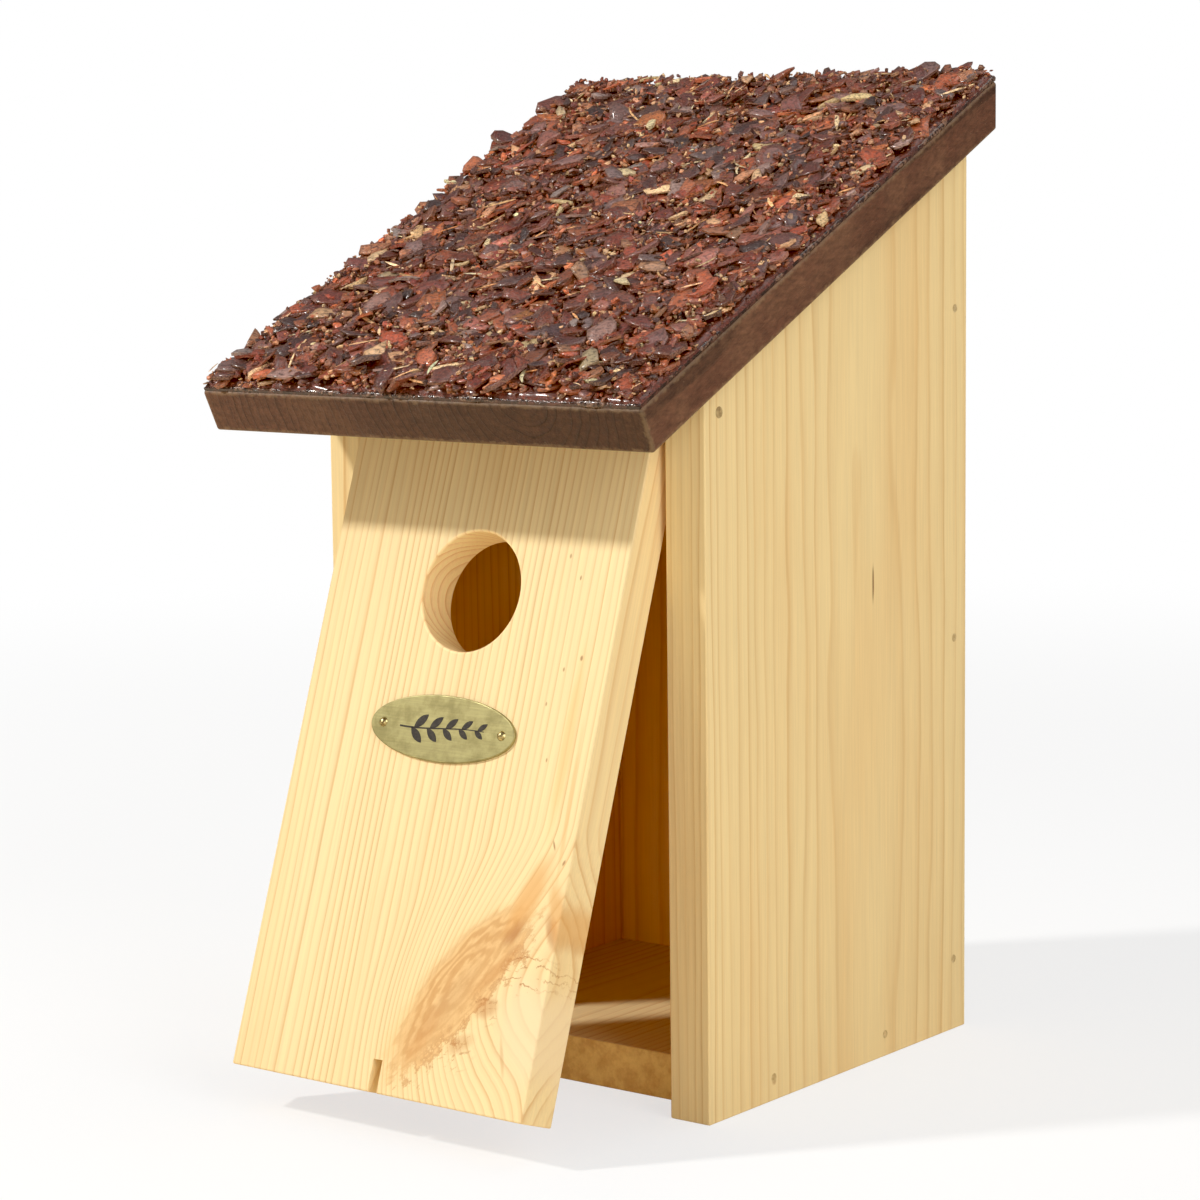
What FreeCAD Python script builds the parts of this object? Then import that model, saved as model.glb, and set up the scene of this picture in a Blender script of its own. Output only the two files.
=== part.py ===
import FreeCAD, Part
import os
import re
import Sketcher

# A wooden nest box whose front swings on two nails.
# Frame: the origin is the centre of the footprint, +Z is up and the front faces -Y.
# The boards are one stock thickness, and the front is set open as it is stored.

SIZES = {
    # housing
    "board_thickness": 12.5,
    "outer_width": 126,
    "housing_depth": 125,
    "side_front_height": 192.5,
    "roof_slope": 26,
    "edge_round": 0.5,
    "floor_door_clearance": 1,
    # roof
    "roof_side_overhang": 9.5,
    "roof_thickness": 12,
    "roof_front_overhang": 34,
    "roof_edge_round": 0.9,
    "glue_thickness": 0.8,
    "bark_thickness": 4.4,
    "bark_inset": 0.5,
    # front
    "door_thickness": 12.5,
    "door_side_gap": 1.75,
    "door_bottom_clearance": 0.3,
    "door_roof_clearance": 1.8,
    "opening_angle": 19,
    "pivot_drop": 9.5,
    "entrance_diameter": 32,
    "entrance_drop": 52,
    "entrance_round": 0.6,
    # plate
    "plate_length": 48,
    "plate_height": 17.5,
    "plate_thickness": 0.8,
    "plate_round": 0.3,
    "plate_drop": 88.5,
    "pin_spacing": 39.6,
    "pin_radius": 0.7,
    "pin_length": 8,
    "pin_head_radius": 1.3,
    "pin_clearance": 0.1,
    # nails
    "brad_radius": 0.8,
    "brad_head_radius": 1.15,
    "brad_head_depth": 1.6,
    "brad_length": 30,
    "brad_tip": 2.4,
    "floor_nail_from_front": 29,
    "floor_nail_from_back": 42,
    "back_nail_from_base": 20.5,
    "back_nail_from_top": 49,
    "roof_nail_from_front": 20,
    "roof_nail_from_back": 21,
    "pivot_nail_radius": 1.1,
    "pivot_head_radius": 1.5,
    "pivot_hold": 17,
    "pivot_clearance": 0.05,
    # latch
    "hook_radius": 1.1,
    "hook_bend": 2,
    "hook_hold": 16,
    "hook_clearance": 0.05,
    "hook_face_gap": 0.6,
    "hook_ground_clearance": 0.35,
    "slot_side_clearance": 0.4,
    "slot_top_clearance": 1.45,
    # hanging plate
    "hanger_width": 17,
    "hanger_length": 42,
    "hanger_thickness": 1.5,
    "hanger_corner": 5,
    "hanger_drop": 35.5,
    "hanger_screw_spacing": 33,
    "keyhole_radius": 4.5,
    "keyhole_drop": 3.5,
    "keyslot_radius": 2.2,
    "keyslot_rise": 5,
    "recess_margin": 1,
    "recess_depth": 7,
    "screw_radius": 1.4,
    "screw_hole_clearance": 0.2,
    "screw_head_radius": 2.7,
    "screw_length": 9,
    "screw_slot_width": 0.7,
    "screw_slot_depth": 1,
}

# Expressions that several pieces share, in the sheet's names.
HALF_DEPTH = "housing_depth / 2"
HALF_INNER = "(outer_width / 2 - board_thickness)"
SLOPE = "tan(roof_slope * 1 deg)"
SLOPE_COS = "cos(roof_slope * 1 deg)"
SLOPE_SIN = "sin(roof_slope * 1 deg)"
SIDE_BACK_HEIGHT = f"(side_front_height + housing_depth * {SLOPE})"
ROOF_WIDTH = "(outer_width + 2 * roof_side_overhang)"
HANGER_HEIGHT = f"({SIDE_BACK_HEIGHT} - hanger_drop)"
PIVOT_HEIGHT = "(side_front_height - pivot_drop)"
PIVOT_Y = f"(-{HALF_DEPTH} + door_thickness / 2)"
FLOOR_FRONT_Y = f"(-{HALF_DEPTH} + door_thickness + floor_door_clearance)"
DOOR_HALF_WIDTH = f"({HALF_INNER} - door_side_gap)"
DOOR_DROP = f"({PIVOT_HEIGHT} - door_bottom_clearance)"
# The door's upper corners swing clear of the roof's underside by the named clearance.
PIVOT_TO_ROOF = f"((pivot_drop + door_thickness / 2 * {SLOPE}) * {SLOPE_COS})"
DOOR_RISE = f"sqrt(({PIVOT_TO_ROOF} - door_roof_clearance)^2 - (door_thickness / 2)^2)"
PIVOT_NAIL_LENGTH = "(board_thickness + door_side_gap + pivot_hold)"
HOOK_HEIGHT = "board_thickness / 2"
HOOK_ARM_Y = f"(-{HALF_DEPTH} - hook_face_gap - hook_radius)"
SLOT_HALF_WIDTH = "(hook_radius + slot_side_clearance)"
SLOT_TOP = f"(-{DOOR_DROP} + {HOOK_HEIGHT} - door_bottom_clearance + hook_radius + slot_top_clearance)"

X_AXIS = FreeCAD.Vector(1, 0, 0)
Y_AXIS = FreeCAD.Vector(0, 1, 0)
ALONG_Z = FreeCAD.Rotation()
FROM_RIGHT = FreeCAD.Rotation(Y_AXIS, 90)
FROM_LEFT = FreeCAD.Rotation(Y_AXIS, -90)
FROM_FRONT = FreeCAD.Rotation(X_AXIS, 90)
FROM_BACK = FreeCAD.Rotation(X_AXIS, -90)

doc = FreeCAD.newDocument("nest_box")
sheet = doc.addObject("Spreadsheet::Sheet", "Sizes")
for row, (alias, value) in enumerate(SIZES.items(), start=1):
    sheet.set(f"A{row}", alias)
    sheet.set(f"B{row}", str(value))
    sheet.setAlias(f"B{row}", alias)
doc.recompute()

WORDS = re.compile(r"\b(" + "|".join(sorted(SIZES, key=len, reverse=True)) + r")\b")


def from_sheet(text):
    """The expression with each alias read from the sheet."""
    return WORDS.sub(r"Sizes.\1", text)


def value_of(text):
    result = sheet.evalExpression(from_sheet(text))
    return float(getattr(result, "Value", result))


def bind(thing, path, text):
    thing.setExpression(path, from_sheet(text))


def place(thing, x="0", y="0", z="0", rotation=ALONG_Z):
    """Bind where a piece's own origin stands, with a fixed turn."""
    thing.Placement = FreeCAD.Placement(FreeCAD.Vector(), rotation)
    for letter, text in zip("xyz", (x, y, z)):
        if text != "0":
            bind(thing, f"Placement.Base.{letter}", text)


# ---- sketches and features -------------------------------------------------------------------

def new_body(name):
    body = doc.addObject("PartDesign::Body", name)
    body.Label = name
    return body


def new_sketch(body, name, role, offset=None):
    """A sketch on one of the body's own planes, moved along its normal by offset."""
    plane = next(item for item in body.Origin.OriginFeatures if item.Role == role)
    sketch = body.newObject("Sketcher::SketchObject", name)
    sketch.AttachmentSupport = [(plane, "")]
    sketch.MapMode = "FlatFace"
    if offset:
        bind(sketch, "AttachmentOffset.Base.z", offset)
    return sketch


def pin_point(sketch, geometry, vertex, x, y):
    """Drive a sketch point from the origin by two bound distances."""
    for kind, axis, text in (("DistanceX", -2, x), ("DistanceY", -1, y)):
        if text == "0":
            sketch.addConstraint(Sketcher.Constraint("PointOnObject", geometry, vertex, axis))
        else:
            rule = Sketcher.Constraint(kind, -1, 1, geometry, vertex, value_of(text))
            bind(sketch, f"Constraints[{sketch.addConstraint(rule)}]", text)


def polygon(body, name, role, points, offset=None):
    sketch = new_sketch(body, name, role, offset)
    corners = [FreeCAD.Vector(value_of(x), value_of(y), 0) for x, y in points]
    count = len(corners)
    for index in range(count):
        sketch.addGeometry(Part.LineSegment(corners[index], corners[(index + 1) % count]), False)
    for index in range(count):
        sketch.addConstraint(Sketcher.Constraint("Coincident", index, 2, (index + 1) % count, 1))
    for index, (x, y) in enumerate(points):
        pin_point(sketch, index, 1, x, y)
    return sketch


def box_corners(half_width, low, high):
    return [(f"-{half_width}", low), (half_width, low), (half_width, high), (f"-{half_width}", high)]


def circle(body, name, role, x, y, radius, offset=None):
    sketch = new_sketch(body, name, role, offset)
    centre = FreeCAD.Vector(value_of(x), value_of(y), 0)
    normal = FreeCAD.Vector(0, 0, 1)
    sketch.addGeometry(Part.Circle(centre, normal, value_of(radius)), False)
    rule = Sketcher.Constraint("Radius", 0, value_of(radius))
    bind(sketch, f"Constraints[{sketch.addConstraint(rule)}]", radius)
    pin_point(sketch, 0, 3, x, y)
    return sketch


def add_pad(body, name, sketch, length, side="One side", backwards=False):
    pad = body.newObject("PartDesign::Pad", name)
    pad.Profile = sketch
    pad.SideType = side
    pad.Reversed = backwards
    bind(pad, "Length", length)
    doc.recompute()
    return pad


def add_pocket(body, name, sketch, depth, side="One side", backwards=False):
    """Cut a pocket, and stop if it takes nothing away."""
    before = body.Shape.Volume
    pocket = body.newObject("PartDesign::Pocket", name)
    pocket.Profile = sketch
    pocket.Type = "Length"
    pocket.SideType = side
    pocket.Reversed = backwards
    bind(pocket, "Length", depth)
    doc.recompute()
    if not body.Shape.Volume < before:
        raise RuntimeError(f"{name} cuts nothing")
    return pocket


def round_edges(body, name, base, radius, wanted=None):
    """Round every edge of the base feature, or only those that wanted picks."""
    fillet = body.newObject("PartDesign::Fillet", name)
    if wanted is None:
        fillet.Base = (base, [])
        fillet.UseAllEdges = True
    else:
        edges = enumerate(base.Shape.Edges, start=1)
        fillet.Base = (base, [f"Edge{number}" for number, edge in edges if wanted(edge)])
    bind(fillet, "Radius", radius)
    doc.recompute()
    return fillet


def add_bore(body, name, role, x, y, radius, depth, mouth, backwards=False):
    sketch = circle(body, f"{name}_circle", role, x, y, radius, mouth)
    return add_pocket(body, name, sketch, depth, "One side", backwards)


def cut_away(name, base, tool):
    cut = doc.addObject("Part::Cut", name)
    cut.Base = base
    cut.Tool = tool
    cut.Label = name
    return cut


def group(name, items):
    """Several separate solids under one name."""
    compound = doc.addObject("Part::Compound", name)
    compound.Links = items
    compound.Label = name
    return compound


def fuse(name, items):
    whole = doc.addObject("Part::MultiFuse", name)
    whole.Shapes = items
    return whole


def cylinder(name, radius, height, z="0"):
    item = doc.addObject("Part::Cylinder", name)
    bind(item, "Radius", radius)
    bind(item, "Height", height)
    place(item, z=z)
    return item


def cone(name, low_radius, high_radius, height, z="0"):
    item = doc.addObject("Part::Cone", name)
    bind(item, "Radius1", low_radius)
    bind(item, "Radius2", high_radius)
    bind(item, "Height", height)
    place(item, z=z)
    return item


def dome(name, rim_radius, z="0"):
    """A shallow round head: the top of a sphere, cut at 25 degrees of latitude."""
    cap = doc.addObject("Part::Sphere", name)
    cap.Angle1 = 25
    sphere_radius = f"({rim_radius} / cos(25 deg))"
    bind(cap, "Radius", sphere_radius)
    place(cap, z=f"{z} - {sphere_radius} * sin(25 deg)")
    return cap


# ---- nails -----------------------------------------------------------------------------------
# A nail is made with its head's top at its own origin and its point towards -Z.

def nail(name, radius, head_radius, length, where, rotation):
    whole = fuse(name, [
        cylinder(f"{name}_shank", radius, f"{length} - brad_tip", f"-{length} + brad_tip"),
        cone(f"{name}_point", f"{radius} * 0.2", radius, "brad_tip", f"-{length}"),
        cone(f"{name}_head", radius, head_radius, "brad_head_depth", "-brad_head_depth"),
    ])
    place(whole, *where, rotation)
    return whole


def brad(name, where, rotation):
    return nail(name, "brad_radius", "brad_head_radius", "brad_length", where, rotation)


SIDES = (("left", -1, FROM_LEFT), ("right", 1, FROM_RIGHT))


def floor_nails():
    made = []
    for side, sign, rotation in SIDES:
        rows = (f"-{HALF_DEPTH} + floor_nail_from_front", f"{HALF_DEPTH} - floor_nail_from_back")
        for step, y in enumerate(rows):
            where = (f"{sign} * outer_width / 2", y, "board_thickness / 2")
            made.append(brad(f"floor_nail_{side}_{step}", where, rotation))
    return group("floor_nails", made)


def back_panel_nails():
    made = []
    run = f"({SIDE_BACK_HEIGHT} - back_nail_from_base - back_nail_from_top)"
    for side, sign, rotation in SIDES:
        for step in range(3):
            z = f"back_nail_from_base + {step} / 2 * {run}"
            where = (f"{sign} * outer_width / 2", f"{HALF_DEPTH} - board_thickness / 2", z)
            made.append(brad(f"back_nail_{side}_{step}", where, rotation))
    return group("back_panel_nails", made)


def roof_nails():
    """Three a side, square to the slope, through the roof into the side panels' upper edges."""
    made = []
    length = "(housing_depth - roof_nail_from_front - roof_nail_from_back)"
    for side, sign, _ in SIDES:
        for step in range(3):
            run = f"(roof_nail_from_front + {step} / 2 * {length})"
            where = (
                f"{sign} * (outer_width - board_thickness) / 2",
                f"-{HALF_DEPTH} + {run} - roof_thickness * {SLOPE_SIN}",
                f"side_front_height + {run} * {SLOPE} + roof_thickness * {SLOPE_COS}",
            )
            item = brad(f"roof_nail_{side}_{step}", where, FreeCAD.Rotation(X_AXIS, 1))
            bind(item, "Placement.Rotation.Angle", "roof_slope")
            made.append(item)
    return group("roof_nails", made)


def pivot_nails():
    made = []
    for side, sign, rotation in SIDES:
        where = (f"{sign} * outer_width / 2", PIVOT_Y, PIVOT_HEIGHT)
        name = f"pivot_nail_{side}"
        item = nail(name, "pivot_nail_radius", "pivot_head_radius", PIVOT_NAIL_LENGTH, where, rotation)
        item.Label = name
        made.append(item)
    return made


# ---- hanging plate on the back ---------------------------------------------------------------

def hanging_screws():
    made = []
    half_slot = "screw_slot_width / 2"
    for name, sign in (("upper", 1), ("lower", -1)):
        shank = cylinder(f"{name}_screw_shank", "screw_radius", "screw_length", "-screw_length")
        tip = cone(f"{name}_screw_tip", "screw_radius * 0.2", "screw_radius", "screw_radius * 2",
                   "-screw_length - screw_radius * 2")
        head = dome(f"{name}_screw_head", "screw_head_radius", "0")
        slots = []
        for turn in (0, 90):
            slot = doc.addObject("Part::Box", f"{name}_screw_slot_{turn}")
            bind(slot, "Length", "screw_head_radius * 1.1")
            bind(slot, "Width", "screw_slot_width")
            bind(slot, "Height", "screw_head_radius")
            across = "-screw_head_radius * 0.55"
            x, y = (across, f"-{half_slot}") if turn == 0 else (half_slot, across)
            top = "screw_head_radius * (1 - sin(25 deg)) / cos(25 deg)"
            place(slot, x, y, f"{top} - screw_slot_depth", FreeCAD.Rotation(FreeCAD.Vector(0, 0, 1), turn))
            slots.append(slot)
        body = fuse(f"{name}_screw_blank", [shank, tip, head])
        screw = cut_away(f"{name}_screw", body, fuse(f"{name}_screw_cross", slots))
        y = f"{HALF_DEPTH} + hanger_thickness"
        place(screw, "0", y, f"{HANGER_HEIGHT} + {sign} * hanger_screw_spacing / 2", FROM_BACK)
        made.append(screw)
    return group("hanging_screws", made)


def hanging_plate():
    body = new_body("hanging_plate")
    outline = polygon(body, "hanger_outline", "XZ_Plane",
                      box_corners("hanger_width / 2", "-hanger_length / 2", "hanger_length / 2"))
    pad = add_pad(body, "hanger_pad", outline, "hanger_thickness", backwards=True)
    flat = value_of("hanger_thickness")
    round_edges(body, "hanger_corners", pad, "hanger_corner",
                lambda edge: abs(edge.BoundBox.YLength - flat) < 1e-6)
    entry = circle(body, "keyhole_entry", "XZ_Plane", "0", "-keyhole_drop", "keyhole_radius")
    add_pocket(body, "keyhole_pocket", entry, "hanger_thickness", backwards=False)
    neck = polygon(body, "keyslot_neck", "XZ_Plane",
                   box_corners("keyslot_radius", "-keyhole_drop", "keyslot_rise"))
    add_pocket(body, "keyslot_pocket", neck, "hanger_thickness", backwards=False)
    top = circle(body, "keyslot_top", "XZ_Plane", "0", "keyslot_rise", "keyslot_radius")
    add_pocket(body, "keyslot_end", top, "hanger_thickness", backwards=False)
    for name, sign in (("upper", 1), ("lower", -1)):
        hole = circle(body, f"hanger_{name}_hole", "XZ_Plane", "0", f"{sign} * hanger_screw_spacing / 2",
                      "screw_radius + screw_hole_clearance")
        add_pocket(body, f"hanger_{name}_bore", hole, "hanger_thickness", backwards=False)
    place(body, "0", HALF_DEPTH, HANGER_HEIGHT)
    return body


# ---- boards ----------------------------------------------------------------------------------

def side_panel(name, x, tools):
    body = new_body(f"{name}_board")
    outline = polygon(body, f"{name}_outline", "YZ_Plane", [
        (f"-{HALF_DEPTH}", "0"),
        (HALF_DEPTH, "0"),
        (HALF_DEPTH, SIDE_BACK_HEIGHT),
        (f"-{HALF_DEPTH}", "side_front_height"),
    ])
    pad = add_pad(body, f"{name}_pad", outline, "board_thickness")
    round_edges(body, f"{name}_edges", pad, "edge_round")
    place(body, x)
    return cut_away(name, body, tools)


def back_panel(tools):
    body = new_body("back_board")
    inner_y = f"({HALF_DEPTH} - board_thickness)"
    inner_height = f"({SIDE_BACK_HEIGHT} - board_thickness * {SLOPE})"
    outline = polygon(body, "back_outline", "YZ_Plane",
                      [(inner_y, "0"), (HALF_DEPTH, "0"), (HALF_DEPTH, SIDE_BACK_HEIGHT), (inner_y, inner_height)])
    pad = add_pad(body, "back_pad", outline, f"2 * {HALF_INNER}", "Symmetric")
    round_edges(body, "back_edges", pad, "edge_round")
    # Room for a wall screw's head behind the keyhole.
    low = f"{HANGER_HEIGHT} - keyhole_drop - keyhole_radius - recess_margin"
    high = f"{HANGER_HEIGHT} + keyslot_rise + keyhole_radius + recess_margin"
    recess = polygon(body, "recess_outline", "XZ_Plane",
                     box_corners("(keyhole_radius + recess_margin)", low, high), f"-{HALF_DEPTH}")
    add_pocket(body, "recess_pocket", recess, "recess_depth", backwards=True)
    return cut_away("back_panel", body, tools)


def floor_board(tools):
    body = new_body("floor_blank")
    back_y = f"({HALF_DEPTH} - board_thickness)"
    outline = polygon(body, "floor_outline", "YZ_Plane", [
        (FLOOR_FRONT_Y, "0"),
        (back_y, "0"),
        (back_y, "board_thickness"),
        (FLOOR_FRONT_Y, "board_thickness"),
    ])
    pad = add_pad(body, "floor_pad", outline, f"2 * {HALF_INNER}", "Symmetric")
    round_edges(body, "floor_edges", pad, "edge_round")
    # The hook turns in this bore.
    add_bore(body, "hook_bore", "XZ_Plane", "0", HOOK_HEIGHT, "hook_radius + hook_clearance",
             "hook_hold + hook_clearance", f"-{FLOOR_FRONT_Y}")
    return cut_away("floor_board", body, tools)


def slope_point(along, above):
    """A point of the side view, along the slope from the roof's lower front edge and above it."""
    y = f"(-{HALF_DEPTH} - roof_front_overhang + ({along}) * {SLOPE_COS} - ({above}) * {SLOPE_SIN})"
    z = (f"(side_front_height - roof_front_overhang * {SLOPE}"
         f" + ({along}) * {SLOPE_SIN} + ({above}) * {SLOPE_COS})")
    return (y, z)


def back_point(inset, above):
    """A point of the side view on the roof's upright rear end."""
    return (f"({HALF_DEPTH} - {inset})", f"({SIDE_BACK_HEIGHT} - {inset} * {SLOPE} + ({above}) / {SLOPE_COS})")


def roof_layer(name, low, high, inset, rounding):
    """A board or layer that lies on the slope, square at the front and upright at the rear."""
    body = new_body(name)
    outline = polygon(body, f"{name}_outline", "YZ_Plane", [
        slope_point(inset, low),
        back_point(inset, low),
        back_point(inset, high),
        slope_point(inset, high),
    ])
    pad = add_pad(body, f"{name}_pad", outline, f"{ROOF_WIDTH} - 2 * {inset}", "Symmetric")
    if rounding:
        round_edges(body, f"{name}_edges", pad, rounding)
    return body


# ---- front -----------------------------------------------------------------------------------
# The front and what is on it are made closed, with the pivot's middle at the origin,
# then turned about that pivot.

def set_open(thing):
    thing.Placement = FreeCAD.Placement(FreeCAD.Vector(), FreeCAD.Rotation(-X_AXIS, 1))
    bind(thing, "Placement.Rotation.Angle", "opening_angle")
    bind(thing, "Placement.Base.y", PIVOT_Y)
    bind(thing, "Placement.Base.z", PIVOT_HEIGHT)


def front_door(pins):
    body = new_body("door_board")
    outline = polygon(body, "door_outline", "XZ_Plane",
                      box_corners(DOOR_HALF_WIDTH, f"-{DOOR_DROP}", DOOR_RISE))
    pad = add_pad(body, "door_pad", outline, "door_thickness", "Symmetric")
    round_edges(body, "door_edges", pad, "edge_round")
    hole = circle(body, "entrance_circle", "XZ_Plane", "0", "-entrance_drop", "entrance_diameter / 2")
    entrance = add_pocket(body, "entrance_bore", hole, "door_thickness", "Symmetric")
    bore = value_of("entrance_diameter")
    round_edges(body, "entrance_rims", entrance, "entrance_round",
                lambda edge: edge.BoundBox.YLength < 1e-6 and abs(edge.BoundBox.XLength - bore) < 1e-3)
    slot = polygon(body, "slot_outline", "XZ_Plane",
                   box_corners(SLOT_HALF_WIDTH, f"-{DOOR_DROP} - edge_round", SLOT_TOP))
    add_pocket(body, "latch_slot", slot, "door_thickness", "Symmetric")
    for side, sign in (("left", "-"), ("right", "")):
        add_bore(body, f"{side}_pivot_bore", "YZ_Plane", "0", "0", "pivot_nail_radius + pivot_clearance",
                 "pivot_hold + pivot_clearance", f"{sign}{DOOR_HALF_WIDTH}", backwards=side == "left")
    door = cut_away("front_door", body, pins)
    set_open(door)
    return door


def oval_plate():
    body = new_body("oval_plate")
    sketch = new_sketch(body, "plate_outline", "XZ_Plane", "door_thickness / 2")
    centre = FreeCAD.Vector(0, -value_of("plate_drop"), 0)
    end = centre + FreeCAD.Vector(value_of("plate_length / 2"), 0, 0)
    top = centre + FreeCAD.Vector(0, value_of("plate_height / 2"), 0)
    sketch.addGeometry(Part.Ellipse(end, top, centre), False)
    sketch.exposeInternalGeometry(0)
    pin_point(sketch, 0, 3, "0", "-plate_drop")
    sketch.addConstraint(Sketcher.Constraint("Horizontal", 1))
    for line, text in ((1, "plate_length"), (2, "plate_height")):
        rule = Sketcher.Constraint("Distance", line, value_of(text))
        bind(sketch, f"Constraints[{sketch.addConstraint(rule)}]", text)
    pad = add_pad(body, "plate_pad", sketch, "plate_thickness")
    front = -value_of("door_thickness / 2 + plate_thickness")
    round_edges(body, "plate_rim", pad, "plate_round",
                lambda edge: abs(edge.BoundBox.YMin - front) < 1e-6 and abs(edge.BoundBox.YMax - front) < 1e-6)
    for side, sign in (("left", "-"), ("right", "")):
        hole = circle(body, f"plate_{side}_hole", "XZ_Plane", f"{sign}pin_spacing / 2", "-plate_drop",
                      "pin_radius + pin_clearance", "door_thickness / 2")
        add_pocket(body, f"plate_{side}_bore", hole, "plate_thickness", backwards=True)
    set_open(body)
    return body


def plate_pins():
    made = []
    for side, sign in (("left", "-"), ("right", "")):
        shank = cylinder(f"{side}_pin_shank", "pin_radius", "pin_length", "-pin_length")
        head = dome(f"{side}_pin_head", "pin_head_radius")
        pin = fuse(f"{side}_pin", [shank, head])
        place(pin, f"{sign}pin_spacing / 2", "-door_thickness / 2 - plate_thickness", "-plate_drop", FROM_FRONT)
        made.append(pin)
    return group("pins_closed", made)


def latch_hook():
    """A bent wire: its shank turns in the floor, and its arm hangs in line with the door's slot."""
    bend_y = f"({HOOK_ARM_Y} + hook_bend)"
    arm_low = "(hook_ground_clearance + hook_radius)"
    shank_end = f"({FLOOR_FRONT_Y} + hook_hold)"
    shank = cylinder("hook_shank", "hook_radius", f"{shank_end} - {bend_y}")
    place(shank, "0", shank_end, HOOK_HEIGHT, FROM_FRONT)
    elbow = doc.addObject("Part::Torus", "hook_elbow")
    bind(elbow, "Radius1", "hook_bend")
    bind(elbow, "Radius2", "hook_radius")
    elbow.Angle3 = 90
    up, front = FreeCAD.Vector(0, 0, 1), FreeCAD.Vector(0, -1, 0)
    place(elbow, "0", bend_y, f"{HOOK_HEIGHT} - hook_bend", FreeCAD.Rotation(up, front, X_AXIS, "XYZ"))
    arm = cylinder("hook_arm", "hook_radius", f"{HOOK_HEIGHT} - hook_bend - {arm_low}")
    place(arm, "0", HOOK_ARM_Y, arm_low)
    tip = doc.addObject("Part::Sphere", "hook_tip")
    bind(tip, "Radius", "hook_radius")
    place(tip, "0", HOOK_ARM_Y, arm_low)
    hook = fuse("latch_hook", [shank, elbow, arm, tip])
    hook.Label = "latch_hook"
    return hook


# ---- the whole box ---------------------------------------------------------------------------

floor_brads = floor_nails()
back_brads = back_panel_nails()
roof_brads = roof_nails()
pivots = pivot_nails()
screws = hanging_screws()
pins = plate_pins()
driven = group("driven_fasteners", [floor_brads, back_brads, roof_brads, screws] + pivots)
set_pins = group("plate_pins", [pins])
set_open(set_pins)

bark_low = "(roof_thickness + glue_thickness)"
roof = roof_layer("roof_plank", "0", "roof_thickness", "0", "roof_edge_round")

parts = [
    side_panel("left_side_panel", "-outer_width / 2", driven),
    side_panel("right_side_panel", "outer_width / 2 - board_thickness", driven),
    back_panel(driven),
    floor_board(driven),
    front_door(pins),
    cut_away("roof_board", roof, driven),
    roof_layer("roof_glue_bed", "roof_thickness", bark_low, "bark_inset", None),
    roof_layer("bark_covering", bark_low, f"{bark_low} + bark_thickness", "bark_inset", None),
    *pivots,
    floor_brads,
    back_brads,
    roof_brads,
    oval_plate(),
    set_pins,
    latch_hook(),
    hanging_plate(),
    screws,
]
doc.recompute()

for item in doc.Objects:
    if "Invalid" in item.State or "Error" in item.State:
        raise RuntimeError(f"{item.Name} did not compute: {item.State}")

os.makedirs("parts", exist_ok=True)
for item in parts:
    shape = item.Shape
    if shape.isNull() or not shape.isValid() or not shape.Solids:
        raise RuntimeError(f"{item.Label} has no valid solid")
    if min(solid.Volume for solid in shape.Solids) <= 0:
        raise RuntimeError(f"{item.Label} has an empty or inverted solid")
for item in parts:
    item.Shape.exportStep(f"parts/{item.Label}.step")
    box = item.Shape.BoundBox
    print(f"{item.Label}: {len(item.Shape.Solids)} solids, {item.Shape.Volume:.1f} mm3, "
          f"{box.XLength:.2f} x {box.YLength:.2f} x {box.ZLength:.2f}")
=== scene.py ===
import math

import bmesh
import bpy
import numpy as np
from mathutils import Matrix, Vector


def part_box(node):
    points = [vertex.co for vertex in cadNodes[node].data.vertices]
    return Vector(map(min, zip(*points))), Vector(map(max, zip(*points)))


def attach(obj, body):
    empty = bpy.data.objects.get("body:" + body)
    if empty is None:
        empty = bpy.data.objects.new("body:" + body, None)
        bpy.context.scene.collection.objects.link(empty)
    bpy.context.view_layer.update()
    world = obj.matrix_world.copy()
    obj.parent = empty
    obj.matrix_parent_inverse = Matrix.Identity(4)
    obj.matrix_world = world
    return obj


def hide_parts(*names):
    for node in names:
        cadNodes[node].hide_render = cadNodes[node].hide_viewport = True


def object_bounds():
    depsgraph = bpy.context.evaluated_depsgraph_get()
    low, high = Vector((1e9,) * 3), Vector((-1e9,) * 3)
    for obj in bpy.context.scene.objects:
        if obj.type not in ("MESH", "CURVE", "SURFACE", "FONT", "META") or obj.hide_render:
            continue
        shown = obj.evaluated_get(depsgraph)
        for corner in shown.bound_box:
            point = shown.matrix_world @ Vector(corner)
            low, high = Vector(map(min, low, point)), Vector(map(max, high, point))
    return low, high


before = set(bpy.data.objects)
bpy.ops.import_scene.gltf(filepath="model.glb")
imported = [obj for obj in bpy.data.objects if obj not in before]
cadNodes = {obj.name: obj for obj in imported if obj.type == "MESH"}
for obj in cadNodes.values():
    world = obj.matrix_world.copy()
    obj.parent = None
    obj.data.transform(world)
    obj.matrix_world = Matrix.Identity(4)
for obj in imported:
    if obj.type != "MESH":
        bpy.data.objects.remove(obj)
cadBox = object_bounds()
mm = 0.001
print("frame loaded:", len(cadNodes), "cad nodes")


def shade(red, green, blue):
    # screen colour 0 to 255 to the linear colour that a shader takes
    c = np.array([red, green, blue]) / 255.0
    linear = np.where(c <= 0.04045, c / 12.92, ((c + 0.055) / 1.055) ** 2.4)
    return (*linear.tolist(), 1.0)


def shades(*colours):
    return tuple(shade(*colour) for colour in colours)


def inMm(values):
    return tuple(value * mm for value in values)


# small helpers for node trees: each works in the tree of the first socket that it is given

def isSocket(value):
    return isinstance(value, bpy.types.NodeSocket)


def feed(socket, value):
    # another node's socket is joined, anything else is set
    if isSocket(value):
        socket.id_data.links.new(value, socket)
    else:
        socket.default_value = value


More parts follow.
